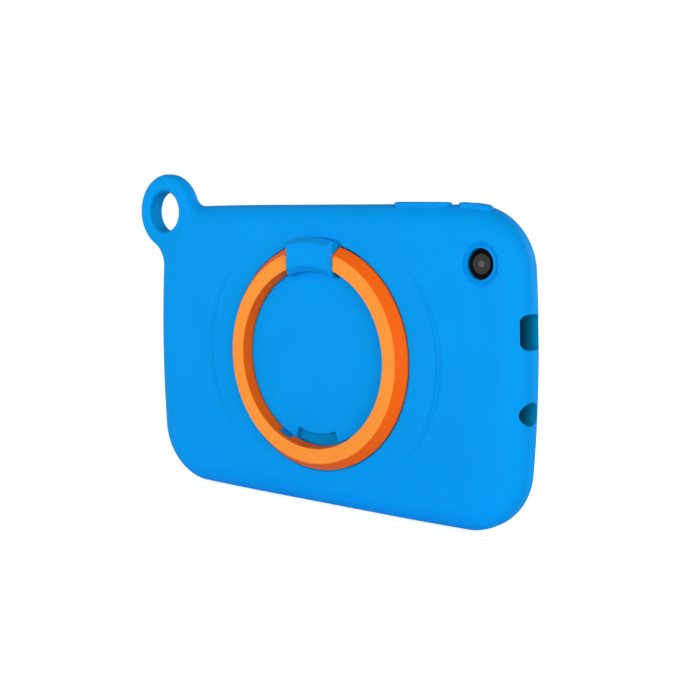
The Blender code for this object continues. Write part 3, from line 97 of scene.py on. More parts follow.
WHITE = (1.0, 1.0, 1.0, 1.0)
FADE_HEIGHT = 0.9
HORIZON_LIGHT, OVERHEAD_LIGHT = 0.97, 0.15
PANEL_WIDTH = 0.9
PANELS = (
    # name, place, power
    ("key_panel", (-0.25, -1.42, 0.02), 15.3),
    ("port_side_panel", (1.35, -0.65, 0.02), 14.5),
    ("screen_side_panel", (0.45, 1.35, 0.25), 11.5),
)
FLOOR_REACH = 6.0
FLOOR_TONE = 0.86
FLOOR_LIFT = 0.74


def linear(*colour):
    """An sRGB colour, in bytes, as linear values."""
    return [value / 12.92 if value <= 0.04045 else ((value + 0.055) / 1.055) ** 2.4
            for value in (channel / 255 for channel in colour)]


def opaque(colour):
    """An sRGB colour, in bytes, as a socket's value."""
    return (*linear(*colour), 1.0)


def plain_material(name):
    """An empty node material, with its tree and its output."""
    made = bpy.data.materials.new(name)
    made.use_nodes = True
    tree = made.node_tree
    tree.nodes.clear()
    return made, tree, tree.nodes.new("ShaderNodeOutputMaterial")


def link(tree, source, node, socket=0):
    """Links a socket, or a node's first output, to an input; sets the input to a plain value."""
    if isinstance(source, bpy.types.Node):
        source = source.outputs[0]
    if isinstance(source, bpy.types.NodeSocket):
        tree.links.new(source, node.inputs[socket])
    else:
        node.inputs[socket].default_value = source


def add(tree, kind, operation=None, **inputs):
    """A node with its inputs given by name, or as a_0, a_1 by number; returns the node."""
    node = tree.nodes.new(kind)
    if operation:
        node.operation = operation
    for key, source in inputs.items():
        link(tree, source, node, int(key[2:]) if key[:2] == "a_" else key.replace("_", " "))
    return node


def maths(tree, operation, *values):
    """One sum in a tree."""
    node = add(tree, "ShaderNodeMath", operation)
    for i, value in enumerate(values):
        link(tree, value, node, i)
    return node


def rescaled(tree, value, start, end, low=0.0, high=1.0):
    """From low to high as a value goes from start to end."""
    return add(tree, "ShaderNodeMapRange", Value=value, From_Min=start, From_Max=end, To_Min=low, To_Max=high)


def seen_directly(tree):
    """1 for camera, mirror and glass rays, 0 for the rays that carry light."""
    rays = tree.nodes.new("ShaderNodeLightPath").outputs
    mirrored = maths(tree, "MAXIMUM", rays["Is Glossy Ray"], rays["Is Transmission Ray"])
    return maths(tree, "MAXIMUM", rays["Is Camera Ray"], mirrored)


world = bpy.data.worlds.new("white_room")
bpy.context.scene.world = world
world.use_nodes = True
sky = world.node_tree
heading = sky.nodes.new("ShaderNodeTexCoord").outputs["Generated"]
upward = add(sky, "ShaderNodeSeparateXYZ", a_0=heading).outputs["Z"]
ambient = sky.nodes["Background"]
link(sky, WHITE, ambient, "Color")
link(sky, rescaled(sky, upward, 0.0, FADE_HEIGHT, HORIZON_LIGHT, OVERHEAD_LIGHT), ambient, "Strength")
backdrop = add(sky, "ShaderNodeBackground", Color=WHITE)
choice = add(sky, "ShaderNodeMixShader", a_0=seen_directly(sky), a_1=ambient, a_2=backdrop)
link(sky, choice, sky.nodes["World Output"], "Surface")

for name, place, power in PANELS:
    lamp = bpy.data.lights.new(name, "AREA")
    lamp.shape, lamp.size, lamp.energy = "DISK", PANEL_WIDTH, power
    holder = enlist(name, lamp)
    holder.location = place
    aim = Vector((0.0, 0.0, centre_z)) - Vector(place)
    holder.rotation_euler = aim.to_track_quat("-Z", "Y").to_euler()

floor_mesh = bpy.data.meshes.new("floor")
corners = [(FLOOR_REACH * x, FLOOR_REACH * y, 0.0) for x, y in ((-1, -1), (1, -1), (1, 1), (-1, 1))]
floor_mesh.from_pydata(corners, [], [(0, 1, 2, 3)])
floor = enlist("floor", floor_mesh)
floor_finish, tree, output = plain_material("floor_white")
matt = add(tree, "ShaderNodeBsdfDiffuse", Color=(FLOOR_TONE, FLOOR_TONE, FLOOR_TONE, 1.0))
glow = add(tree, "ShaderNodeEmission", Strength=maths(tree, "MULTIPLY", seen_directly(tree), FLOOR_LIFT))
link(tree, add(tree, "ShaderNodeAddShader", a_0=matt, a_1=glow), output, "Surface")
floor_mesh.materials.append(floor_finish)

bpy.context.scene.view_settings.view_transform = "Standard"

# ---------------- Bumper case
# Thick soft case, moulded in one piece from matt silicone: a pillow round the tablet with bowed sides,
# a hanging loop that grows out of one corner, a bed for the ring stand and an opening for each thing
# that the tablet needs, cut with a tool that carries its soft lip.

GAP = 0.0003
HAIR = 0.00005      # how far a tool goes past the face that it leaves
END_BOW = 0.0010
END_FLAT = 0.0330
SIDE_BOW = 0.0039
CASE_CORNER = 0.0245
BACK_ROUND = (0.0125, 0.0083)
FRONT_ROUND = (0.0100, 0.0045)
CIRCLE = 2 * pi
half_length = case_high.x - SIDE_BOW
half_height = centre_z - END_BOW
front_y = case_high.y


def arc(centre, radius, start, end, steps):
    """Points of an arc, both ends included, in radians."""
    return [(centre[0] + radius * cos(start + (end - start) * i / steps),
             centre[1] + radius * sin(start + (end - start) * i / steps)) for i in range(steps + 1)]


def rounded_rectangle(half_u, half_v, radius, steps=12, centre=(0.0, 0.0), side_steps=1):
    """Rectangle with round corners, run anticlockwise, with its sides split evenly."""
    corners = []
    for sign_u, sign_v, start in ((1, 1, 0.0), (-1, 1, pi / 2), (-1, -1, pi), (1, -1, 3 * pi / 2)):
        middle = (centre[0] + sign_u * (half_u - radius), centre[1] + sign_v * (half_v - radius))
        corners.append(arc(middle, radius, start, start + pi / 2, steps))
    points = []
    for corner, following in zip(corners, corners[1:] + corners[:1]):
        points += corner
        (u0, v0), (u1, v1) = corner[-1], following[0]
        points += [(u0 + (u1 - u0) * i / side_steps, v0 + (v1 - v0) * i / side_steps)
                   for i in range(1, side_steps)]
    return points


def pill(half_run, half_width, steps=12):
    """Slot with round ends, about its centre."""
    return (arc((half_run - half_width, 0.0), half_width, -pi / 2, pi / 2, steps)
            + arc((half_width - half_run, 0.0), half_width, pi / 2, 3 * pi / 2, steps))


def moved(points, centre):
    """Points about a new centre."""
    return [(centre[0] + u, centre[1] + v) for u, v in points]


def quarter(steps):
    """Sine and cosine along a quarter turn."""
    return [(sin(pi / 2 * i / steps), cos(pi / 2 * i / steps)) for i in range(steps + 1)]


def new_object(name, bm):
    """A bmesh as a linked object, with its faces pointing out."""
    bmesh.ops.recalc_face_normals(bm, faces=bm.faces)
    mesh = bpy.data.meshes.new(name)
    bm.to_mesh(mesh)
    bm.free()
    return enlist(name, mesh)


def skin(name, sections):
    """Skin over closed sections with equal numbers of points, capped at both ends."""
    bm = bmesh.new()
    loops = [[bm.verts.new(point) for point in section] for section in sections]
    for near, far in zip(loops, loops[1:]):
        for i in range(len(near)):
            j = (i + 1) % len(near)
            bm.faces.new((near[i], near[j], far[j], far[i]))
    bm.faces.new(loops[0])
    bm.faces.new(loops[-1])
    return new_object(name, bm)


def upright_skin(name, outline_of, levels):
    """Skin over outlines in XZ, each given by its inset, at (inset, y) pairs."""
    return skin(name, [[(x, y, z) for x, z in outline_of(inset)] for inset, y in levels])


def slab(name, outline, back, front):
    """Skin over an outline in XZ, from one depth to another."""
    return skin(name, [[(x, y, z) for x, z in outline] for y in (back, front)])


def column(name, outline, bottom, top):
    """Skin over an outline in XY, from one height to another."""
    return skin(name, [[(x, y, z) for x, y in outline] for z in (bottom, top)])


def turned(name, profile, centre, steps=96, axis="Y"):
    """Profile of (radius, height) points turned about an axis; heights run out of the back, or along it.

    A profile that starts and ends on the axis gives a solid, and any other is closed on itself.
    """
    solid = not profile[0][0]
    bm = bmesh.new()
    rows = []
    for radius, height in profile:
        angles = [CIRCLE * i / steps for i in range(steps)] if radius else [0.0]
        rows.append([bm.verts.new((radius * cos(angle), radius * sin(angle), height)) for angle in angles])
    for near, far in zip(rows, rows[1:] if solid else rows[1:] + rows[:1]):
        for i in range(steps):
            j = (i + 1) % steps
            corners = [near[i % len(near)], near[j % len(near)], far[j % len(far)], far[i % len(far)]]
            bm.faces.new(list(dict.fromkeys(corners)))
    turn = Matrix.Rotation(pi / 2, 4, "X" if axis == "Y" else "Y")
    bm.transform(Matrix.Translation(centre) @ turn)
    return new_object(name, bm)


def rod(name, radius, start, end, centre, steps=96, axis="Y"):
    """Cylinder about an axis, from one height to another."""
    return turned(name, [(0.0, start), (radius, start), (radius, end), (0.0, end)], centre, steps, axis)


def block(name, low, high):
    """Box between two corners."""
    bm = bmesh.new()
    bmesh.ops.create_cube(bm, size=1.0)
    bmesh.ops.scale(bm, vec=Vector(high) - Vector(low), verts=bm.verts)
    bmesh.ops.translate(bm, vec=(Vector(high) + Vector(low)) / 2, verts=bm.verts)
    return new_object(name, bm)


def settle(piece):
    """Turns a piece's modifiers into plain mesh."""
    shape = bpy.data.meshes.new_from_object(piece.evaluated_get(bpy.context.evaluated_depsgraph_get()))
    piece.modifiers.clear()
    piece.data = shape
    return piece


def carve(piece, *tools, operation="DIFFERENCE"):
    """Takes the tools away from a piece, or joins them to it, and removes them."""
    for tool in tools:
        step = piece.modifiers.new(tool.name, "BOOLEAN")
        step.operation = operation
        step.solver = "EXACT"
        step.object = tool
    settle(piece)
    for tool in tools:
        bpy.data.objects.remove(tool)
    return piece


def shade(piece, angle=30.0):
    """Smooth shading up to an angle, led by the large faces."""
    piece.data.shade_smooth()
    piece.data.set_sharp_from_angle(angle=radians(angle))
    weights = piece.modifiers.new("weights", "WEIGHTED_NORMAL")
    weights.keep_sharp = True
    return settle(piece)


def soften(piece, width, segments=3, angle=30.0):
    """Rounds the sharp edges of a piece."""
    bm = bmesh.new()
    bm.from_mesh(piece.data)
    bmesh.ops.remove_doubles(bm, verts=bm.verts, dist=1e-6)
    bmesh.ops.dissolve_degenerate(bm, dist=1e-6, edges=bm.edges)
    bm.to_mesh(piece.data)
    bm.free()
    bevel = piece.modifiers.new("softened", "BEVEL")
    bevel.width = width
    bevel.segments = segments
    bevel.limit_method = "ANGLE"
    bevel.angle_limit = radians(angle)
    bevel.use_clamp_overlap = False
    bevel.harden_normals = False
    return settle(piece)


def principled(name, colour, roughness, **sockets):
    """A Principled material with its plain values; returns the material, its tree and its shader."""
    made, tree, output = plain_material(name)
    shader = add(tree, "ShaderNodeBsdfPrincipled", Base_Color=opaque(colour), Roughness=roughness, **sockets)
    link(tree, shader, output, "Surface")
    return made, tree, shader


def own_place(tree):
    """The object's own coordinates."""
    return tree.nodes.new("ShaderNodeTexCoord").outputs["Object"]


def along(tree, axis):
    """One of the object's own coordinates."""
    return add(tree, "ShaderNodeSeparateXYZ", a_0=own_place(tree)).outputs[axis]


def noise(tree, scale, detail=2.0):
    """Noise over the object's own coordinates, at so many features to the metre."""
    return add(tree, "ShaderNodeTexNoise", Vector=own_place(tree), Scale=scale, Detail=detail)


def ramp(tree, value, low, high, start=0.35, end=0.65):
    """Colours, or greys, from low to high as the value goes from start to end."""
    made = tree.nodes.new("ShaderNodeValToRGB")
    stops = made.color_ramp.elements
    stops[0].position, stops[1].position = start, end
    for stop, shade_of in zip(stops, (low, high)):
        stop.color = (*shade_of, 1.0) if isinstance(shade_of, (list, tuple)) else (shade_of,) * 3 + (1.0,)
    link(tree, value, made)
    return made


def dimmed(colour, share):
    """A share of a colour's light, as linear values."""
    return [value * share for value in linear(*colour)]


def mottle(tree, shader, colour, darker, scale=35.0):
    """Very gentle shifts of the base colour, as in pigmented plastic."""
    shifts = ramp(tree, noise(tree, scale), dimmed(colour, darker), linear(*colour))
    link(tree, shifts, shader, "Base Color")


def gloss(tree, shader, scale, detail, least, most):
    """Shifts of the roughness, so many to the metre."""
    link(tree, ramp(tree, noise(tree, scale, detail), least, most), shader, "Roughness")


def grain(tree, shader, scale, height, strength=1.0, detail=3.0):
    """Fine bumps of the moulded surface, so many to the metre and so high."""
    bump = add(tree, "ShaderNodeBump", Strength=strength, Distance=height, Height=noise(tree, scale, detail))
    link(tree, bump, shader, "Normal")


def surface(name, colour, roughness, tone, bumps=None, shine=None, **sockets):
    """A material in one colour, with what mottle, grain and gloss are given; returns the material."""
    made, tree, shader = principled(name, colour, roughness, **sockets)
    for change, given in ((mottle, (colour, *tone)), (grain, bumps), (gloss, shine)):
        if given:
            change(tree, shader, *given)
    return made


def dress(piece, finish, body, slot, *replaced):
    """Gives a finished piece its material and body, and hides the solids that it stands for; the slot is not
    used.
    """
    piece.data.materials.clear()
    piece.data.materials.append(finish)
    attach(piece, body)
    if replaced:
        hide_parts(*replaced)


def paint(piece, finish, chosen):
    """Gives the faces that are chosen, by their middle and normal, another material; here it paints shade on
    them.
    """
    piece.data.materials.append(finish)
    for face in piece.data.polygons:
        if chosen(face.center, face.normal):
            face.material_index = len(piece.data.materials) - 1


SILICONE_BLUE = (4, 153, 237)
# Painted shade: these darker blues stand for the shade in creases, hollows, hole walls and port walls; the port
# pair runs from near-black deep inside to blue at the mouth.
CREASE_SHADE_BLUE = (3, 145, 227)
RECESS_SHADE_BLUE = (4, 139, 208)
PORT_SHADE_BLUES = ((0, 34, 46), (0, 154, 208))
SILICONE_GRAIN = (2600.0, 0.00003)
silicone = surface("silicone_blue", SILICONE_BLUE, 0.58, (0.96,), (*SILICONE_GRAIN, 0.5),
                   (260.0, 4.0, 0.53, 0.63), Specular_IOR_Level=0.025)
crease, painted_recess_shade = (surface(name, colour, 0.66, (darker,), (*SILICONE_GRAIN, 0.6), Specular_IOR_Level=0.02)
                         for name, colour, darker in (("silicone_crease_painted_shade", CREASE_SHADE_BLUE, 0.95),
                                                      ("silicone_recess_painted_shade", RECESS_SHADE_BLUE, 0.94)))


def end_bow(x, half):
    """How far the long edges bow out at x, and how steeply that changes."""
    run = half - END_FLAT
    share = max(0.0, abs(x) - END_FLAT) / run
    slope = -2 * END_BOW * share / run
    return END_BOW * (1 - share ** 2), slope if x > 0 else -slope


def side_bow(z, half):
    """How far the short sides bow out at z above the middle."""
    return SIDE_BOW * (1 - (z / half) ** 2)


def case_outline(inset):
    """Case outline in XZ, drawn in by the inset."""
    half_x, half_z = half_length - inset, half_height - inset
    points = []
    for x, z in rounded_rectangle(half_x, half_z, CASE_CORNER - inset, 24, side_steps=18):
        bow = end_bow(x, half_x)[0]
        bowed_z = z + (bow if z > 0 else -bow)
        reach = side_bow(bowed_z, half_z)
        points.append((x + (reach if x > 0 else -reach), centre_z + bowed_z))
    return points


def case_inset(y):
    """How far the case has drawn in at depth y, at its round back and front edges."""
    for (inset, depth), gone in ((BACK_ROUND, back_y + BACK_ROUND[1] - y),
                                 (FRONT_ROUND, y - front_y + FRONT_ROUND[1])):
        if gone > 0:
            return inset * (1 - sqrt(max(0.0, 1 - (gone / depth) ** 2)))
    return 0.0


def case_side(y, z):
    """Outer face of the case's right side at a depth and a height."""
    inset = case_inset(y)
    return half_length - inset + side_bow(z - centre_z, half_height - inset)


def case_top(x, y=0.0):
    """Height of the case's top edge at x and a depth."""
    inset = case_inset(y)
    corner = CASE_CORNER - inset
    beyond = min(max(0.0, abs(x) - (half_length - CASE_CORNER)), corner)
    return (centre_z + half_height - inset - corner + sqrt(corner ** 2 - beyond ** 2)
            + end_bow(x, half_length - inset)[0])


def round_levels(back, front, back_round, front_round, steps):
    """(inset, y) pairs from the back to the front, whose rounds are (inset, depth) pairs."""
    levels = [(back_round[0] * (1 - sine), back + back_round[1] * (1 - cosine))
              for sine, cosine in quarter(steps[0])]
    return levels + [(front_round[0] * (1 - cosine), front - front_round[1] * (1 - sine))
                     for sine, cosine in quarter(steps[1])]


levels = round_levels(back_y, front_y, BACK_ROUND, FRONT_ROUND, (18, 12))
case = upright_skin("case_moulding", case_outline, levels)

# The loop: a flat round eye whose rim is rounded, with a fillet to each side of the case.
LOOP_RADIUS = 0.0180
LOOP_HOLE = 0.0094
LOOP_DEPTH = 0.0090
LOOP_SET_BACK = 0.0008
LOOP_EDGE = (0.0038, 0.0038)
LOOP_HOLE_EDGE = 0.0025
LOOP_FILLETS = (0.0050, 0.0120)
loop_centre = Vector((case_low.x + LOOP_RADIUS, case_high.z - LOOP_RADIUS - centre_z))
loop_back = back_y + LOOP_SET_BACK
loop_front = loop_back + LOOP_DEPTH


def top_edge(x, inset):
    """Point and outward direction on the case's top edge, about the case's middle."""
    bow, slope = end_bow(x, half_length - inset)
    return Vector((x, half_height - inset + bow)), Vector((-slope, 1.0))


def left_edge(z, inset):
    """Point and outward direction on the case's left side, about the case's middle."""
    half = half_height - inset
    reach = half_length - inset + side_bow(z, half)
    return Vector((-reach, z)), Vector((-1.0, 2 * SIDE_BOW * z / half ** 2))


def fillet(edge, near, far, inset, loop_radius, radius):
    """Fillet circle that touches the edge and the loop: its centre and its point on the edge."""
    for _ in range(40):
        middle = (near + far) / 2
        foot, outward = edge(middle, inset)
        centre = foot + outward.normalized() * radius
        if (centre - loop_centre).length < loop_radius + radius:
            near = middle
        else:
            far = middle
    return centre, foot


def angle_of(centre, point):
    """Direction from the centre to the point."""
    return atan2(point[1] - centre[1], point[0] - centre[0])


def loop_section(y, edge_inset):
    """Outline of the loop and its webs at one depth, tangent to the case there."""
    inset = case_inset(y) + HAIR
    radius = LOOP_RADIUS - edge_inset
    top_radius, side_radius = (fillet_radius + edge_inset for fillet_radius in LOOP_FILLETS)
    top_centre, top_foot = fillet(top_edge, loop_centre.x, 0.0, inset, radius, top_radius)
    side_centre, side_foot = fillet(left_edge, loop_centre.y, 0.0, inset, radius, side_radius)
    start = angle_of(loop_centre, top_centre)
    end = angle_of(loop_centre, side_centre) % CIRCLE
    outline = arc(top_centre, top_radius, angle_of(top_centre, top_foot), start - pi, 14)
    outline += arc(loop_centre, radius, start, end, 64)[1:-1]
    outline += arc(side_centre, side_radius, end - pi, angle_of(side_centre, side_foot), 14)
    inward = CASE_CORNER / 2
    outline += [(side_foot.x + inward, side_foot.y), (loop_centre.x + inward, loop_centre.y - inward),
                (top_foot.x, top_foot.y - inward)]
    return [(x, z + centre_z) for x, z in outline]


levels = round_levels(loop_back, loop_front, LOOP_EDGE, LOOP_EDGE, (14, 14))
loop = skin("loop", [[(x, y, z) for x, z in loop_section(y, inset)] for inset, y in levels])


def lip(width, steps=6):
    """A soft lip as (spread, depth) pairs, from its wall out to just past the face that it leaves."""
    spread = [(width * (1 - cosine), width * (1 - sine)) for sine, cosine in quarter(steps)[:-1]]
    return spread + [(width, -HAIR)]


hole_place = (loop_centre.x, back_y, centre_z + loop_centre.y)
flare = [(LOOP_HOLE + spread, depth) for spread, depth in lip(LOOP_HOLE_EDGE, 10)]
through = 2 * LOOP_DEPTH
profile = [(0.0, through), (flare[-1][0], through)]
profile += [(radius, -LOOP_SET_BACK - depth) for radius, depth in reversed(flare)]
profile += [(radius, -LOOP_SET_BACK - LOOP_DEPTH + depth) for radius, depth in flare]
profile += [(flare[-1][0], -through), (0.0, -through)]
carve(loop, turned("loop_hole", profile, hole_place))
carve(case, rod("corner_hole", LOOP_HOLE + GAP, through, -through, hole_place))
carve(case, loop, operation="UNION")

# Two low crescent ridges beside the ring: a narrow top between two slopes, sunk at both ends.
CRESCENT_OFFSET = 0.0155
CRESCENT_WIDTH = 0.0032
CRESCENT_TOP = 0.0008
CRESCENT_RISE = 0.0006
CRESCENT_SAG = 0.0026
CRESCENT_ANGLE = 40.5
CRESCENT_REACH = 1.12
CRESCENT_STEPS = 36
for side, name in ((-1, "crescent_left"), (1, "crescent_right")):
    sections = []
    for i in range(2 * CRESCENT_STEPS + 1):
        share = CRESCENT_REACH * (i / CRESCENT_STEPS - 1)
        angle = radians(CRESCENT_ANGLE) * share
        rise = CRESCENT_RISE * (1 - share ** 2)
        ridge = ring_radius + CRESCENT_OFFSET - CRESCENT_SAG * share ** 2
        foot = CRESCENT_TOP / 2
        foot += (rise + CRESCENT_RISE) / CRESCENT_RISE * (CRESCENT_WIDTH - CRESCENT_TOP) / 2
        profile = [(-foot, -CRESCENT_RISE), (-CRESCENT_TOP / 2, rise), (CRESCENT_TOP / 2, rise),
                   (foot, -CRESCENT_RISE), (foot, -3 * CRESCENT_RISE), (-foot, -3 * CRESCENT_RISE)]
        sections.append([(side * (ridge + across) * cos(angle), back_y - height,
                          ring_centre.z + (ridge + across) * sin(angle)) for across, height in profile])
    carve(case, skin(name, sections), operation="UNION")

# The ring's bed: a shallow groove with soft lips, deeper where the ring's ends dip as it swings, with
# two lugs that hold the ring's foot and a hollow for a fingertip. The saddle's land stays at full height.
RING_BAND = 0.0100
RING_DRAFT = 0.0007
RING_HEIGHT = 0.0050
RING_FOOT = 0.0007
RING_SIDE_GAP = 0.0005
GROOVE_LIP = 0.0004
HINGE_SET_IN = 0.0060
HINGE_STANDOFF = 0.0030
SADDLE_HALF_WIDTH = 0.0129
NOTCH_ANGLES = (21.0, 31.0)
NOTCH_SLACK = 0.6
NOTCH_HEIGHT = 0.0025
NOTCH_REACH = 0.0017
LUG_REACH_IN = -0.0001
LUG_EDGE = 0.0002
RECESS_REACH_IN = 0.0061
RECESS_REACH_UNDER = 0.0060
RECESS_ANGLE = 18.4
RECESS_DEPTH = 0.0030
RECESS_FLOOR = ((-0.0007, 0.0), (-0.0002, 0.0002), (0.0, 0.0007))
RECESS_LIP = 0.00025
LAND_REACH = 0.01
ring_inner = ring_radius - RING_BAND
groove_depth = RING_FOOT + GAP
hinge = Vector((0.0, back_y - HINGE_STANDOFF, ring_centre.z + ring_radius - HINGE_SET_IN))


def sector(inner, outer, start, end, spread=0.0, steps=24):
    """Sector of a ring about the ring stand's centre, grown on all sides, with its angles in degrees."""
    centre = (0.0, ring_centre.z)
    inner, outer = inner - spread, outer + spread
    start, end = radians(start), radians(end)
    return (arc(centre, outer, start - spread / outer, end + spread / outer, steps)
            + arc(centre, inner, end + spread / inner, start - spread / inner, steps))


outer, inner = ring_radius + RING_SIDE_GAP, ring_inner - RING_DRAFT - RING_SIDE_GAP
lips = lip(GROOVE_LIP)
profile = [(outer + GROOVE_LIP, groove_depth)]
profile += [(outer + spread, -depth) for spread, depth in reversed(lips)]
profile += [(outer, -groove_depth), (inner, -groove_depth)]
profile += [(inner - spread, -depth) for spread, depth in lips] + [(inner - GROOVE_LIP, groove_depth)]
groove = turned("ring_groove", profile, (0.0, back_y, ring_centre.z), 240)
hinge_height = hinge.z - ring_centre.z
end = SADDLE_HALF_WIDTH + GAP
dip = sqrt((sqrt(ring_radius ** 2 - end ** 2) - hinge_height) ** 2 + (HINGE_STANDOFF + RING_FOOT) ** 2)
level = atan2(sqrt(ring_radius ** 2 - hinge_height ** 2), hinge_height) * 180 / pi
below = sqrt(max(0.0, dip ** 2 - (HINGE_STANDOFF + groove_depth) ** 2))
near = sqrt((hinge_height - below - GAP) ** 2 + end ** 2)
outline = sector(near, ring_radius + GAP, 90 - level, 90 + level)
relief = slab("swing_relief", outline, back_y + groove_depth / 2, hinge.y + dip + GAP)
for tool, half in ((groove, SADDLE_HALF_WIDTH), (relief, SADDLE_HALF_WIDTH + GAP / 3)):
    carve(tool, block("saddle_land", (-half, back_y - LAND_REACH, ring_centre.z),
                      (half, back_y + LAND_REACH, ring_centre.z + ring_radius + LAND_REACH)))
carve(case, groove, relief)
for side in (-1, 1):
    low, high = sorted((side * (NOTCH_ANGLES[0] + NOTCH_SLACK), side * (NOTCH_ANGLES[1] - NOTCH_SLACK)))
    top = back_y - NOTCH_HEIGHT + 2 * GAP
    levels = [(-LUG_EDGE, top), (-LUG_EDGE * 0.3, top + LUG_EDGE * 0.3), (0.0, top + LUG_EDGE),
              (0.0, top + (NOTCH_HEIGHT + groove_depth))]
    inner, outer = ring_inner - RING_DRAFT - LUG_REACH_IN, ring_inner + NOTCH_REACH - 2 * GAP
    carve(case, upright_skin("lug", lambda spread: sector(inner, outer, low - 90, high - 90, spread), levels),
          operation="UNION")
levels = [(spread, back_y + RECESS_DEPTH - height) for spread, height in RECESS_FLOOR]
levels += [(spread, back_y + depth) for spread, depth in lip(RECESS_LIP)]
levels.append((RECESS_LIP, back_y - RING_HEIGHT))
inner, outer = ring_inner - RECESS_REACH_IN, ring_inner + RECESS_REACH_UNDER
carve(case, upright_skin("finger_recess", lambda spread: sector(
    inner, outer, -90 - RECESS_ANGLE, -90 + RECESS_ANGLE, spread), levels))

# The room for the tablet, with a lip over the edge of its glass, and the saddle's anchor in the wall.
TABLET_CORNER = 0.0100
LIP_OVERLAP = 0.0035
LIP_ROUND = 0.0010
PAST_FACE = 0.002
ANCHOR_CORNER = 0.0020
POST_RADIUS = 0.0021
POST_HOLE_REACH = 0.009
POST_PLACES = ((-0.0075, -0.0045), (0.0075, -0.0045), (0.0, 0.0045))
glass_low, glass_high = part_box("touch_glass")
anchor_low, anchor_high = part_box("saddle_anchor_plate")
tablet_back, tablet_front = tablet_low.y, glass_high.y


def tablet_outline(inset):
    """Outline of the tablet in XZ, drawn in by the inset."""
    return rounded_rectangle(tablet_high.x - inset, tablet_half[2] - inset, TABLET_CORNER - inset, 12,
                             (0.0, centre_z))


carve(case, slab("tablet_room", tablet_outline(-GAP), tablet_back - GAP, tablet_front + GAP))
levels = [(LIP_OVERLAP, tablet_front - GAP)]
levels += [(LIP_OVERLAP - spread, front_y - depth) for spread, depth in lip(LIP_ROUND, 8)]
levels.append((LIP_OVERLAP - LIP_ROUND, front_y + PAST_FACE))
carve(case, upright_skin("screen_window", tablet_outline, levels))
anchor_half = middle_and_half(anchor_low, anchor_high)[1]
pocket = rounded_rectangle(anchor_half[0] + GAP, anchor_half[2] + GAP, ANCHOR_CORNER, 6, (0.0, hinge.z))
carve(case, slab("anchor_pocket", pocket, anchor_low.y - GAP, tablet_back))
for x, z in POST_PLACES:
    carve(case, rod("post_hole", POST_RADIUS + GAP, POST_HOLE_REACH, -POST_HOLE_REACH,
                    (x, back_y, hinge.z + z), 32))

# The camera hole: a shallow dish with a crease round a low collar, and a straight bore.
DISH = (
    # beyond the bore, deep
    (0.0042, 0.0), (0.0033, 0.0002), (0.0025, 0.0005), (0.0019, 0.0010), (0.0016, 0.0013), (0.0014, 0.0013),
    (0.0011, 0.0010), (0.0008, 0.0007), (0.0005, 0.0005), (0.0002, 0.0006), (0.0, 0.0010), (0.0, 0.0060))
bezel_low, bezel_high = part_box("camera_bezel")
bezel_middle, (bezel_radius, _, _) = middle_and_half(bezel_low, bezel_high)
camera_place = Vector((bezel_middle[0], back_y, bezel_middle[2]))
bore = bezel_radius + 1.5 * GAP
profile = [(0.0, PAST_FACE), (bore + DISH[0][0], PAST_FACE)]
profile += [(bore + beyond, -depth) for beyond, depth in DISH] + [(0.0, -DISH[-1][1])]
carve(case, turned("camera_dish", profile, camera_place))

# The openings for the ports, the speaker and the buttons, whose lips follow the curved sides.
USB_CUT = (0.0098, 0.0140)
USB_CUT_SHIFT = -0.0004
USB_CUT_CORNER = 0.0029
PORT_LIP = 0.0004
PORT_DEPTH = 0.0075
JACK_CUT_RADIUS = 0.0047
JACK_CUT_SHIFT = -0.0006
SPEAKER_SLOT = (0.0044, 0.0016)
SPEAKER_PITCH = 0.0036
SPEAKER_LIP = 0.0002
BUTTON_PLUG = 0.0030
BUTTON_GAP = 0.00035
BUTTON_LIP = 0.0003
POCKET_RISE = 0.003
STEM_HOLE_END = 0.0015
STEM_WIDTH = 0.0024
STEM_INSET = 0.0035
usb_low, usb_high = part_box("usb_socket")
_, port_y, usb_z = middle_and_half(usb_low, usb_high)[0]
jack_z = middle_and_half(*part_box("headphone_socket"))[0][2]
usb_centre, jack_centre = (port_y + USB_CUT_SHIFT, usb_z), (port_y + JACK_CUT_SHIFT, jack_z)


def side_opening(name, outline_of, width, side=1, steps=6):
    """Cutter through a side wall: an outline in YZ that grows by its lip where it meets the face."""
    inside = side * (tablet_high.x - GAP)
    outside = side * (case_high.x + PAST_FACE)
    sections = [[(inside, y, z) for y, z in outline_of(0.0)]]
    sections += [[(side * (case_side(y, z) - depth), y, z) for y, z in outline_of(spread)]
                 for spread, depth in lip(width, steps)]
    sections.append([(outside, y, z) for y, z in outline_of(width)])
    return skin(name, sections)


carve(case, side_opening("usb_opening", lambda spread: rounded_rectangle(
    USB_CUT[0] / 2 + spread, USB_CUT[1] / 2 + spread, USB_CUT_CORNER + spread, 12, usb_centre, 6), PORT_LIP))
carve(case, side_opening("jack_opening", lambda spread: arc(
    jack_centre, JACK_CUT_RADIUS + spread, 0.0, CIRCLE, 72)[:-1], PORT_LIP))
for row in range(-2, 3):
    centre = (port_y, centre_z + SPEAKER_PITCH * row)
    carve(case, side_opening("speaker_slot", lambda spread: moved(
        pill(SPEAKER_SLOT[0] / 2 + spread, SPEAKER_SLOT[1] / 2 + spread), centre), SPEAKER_LIP, -1, 3))

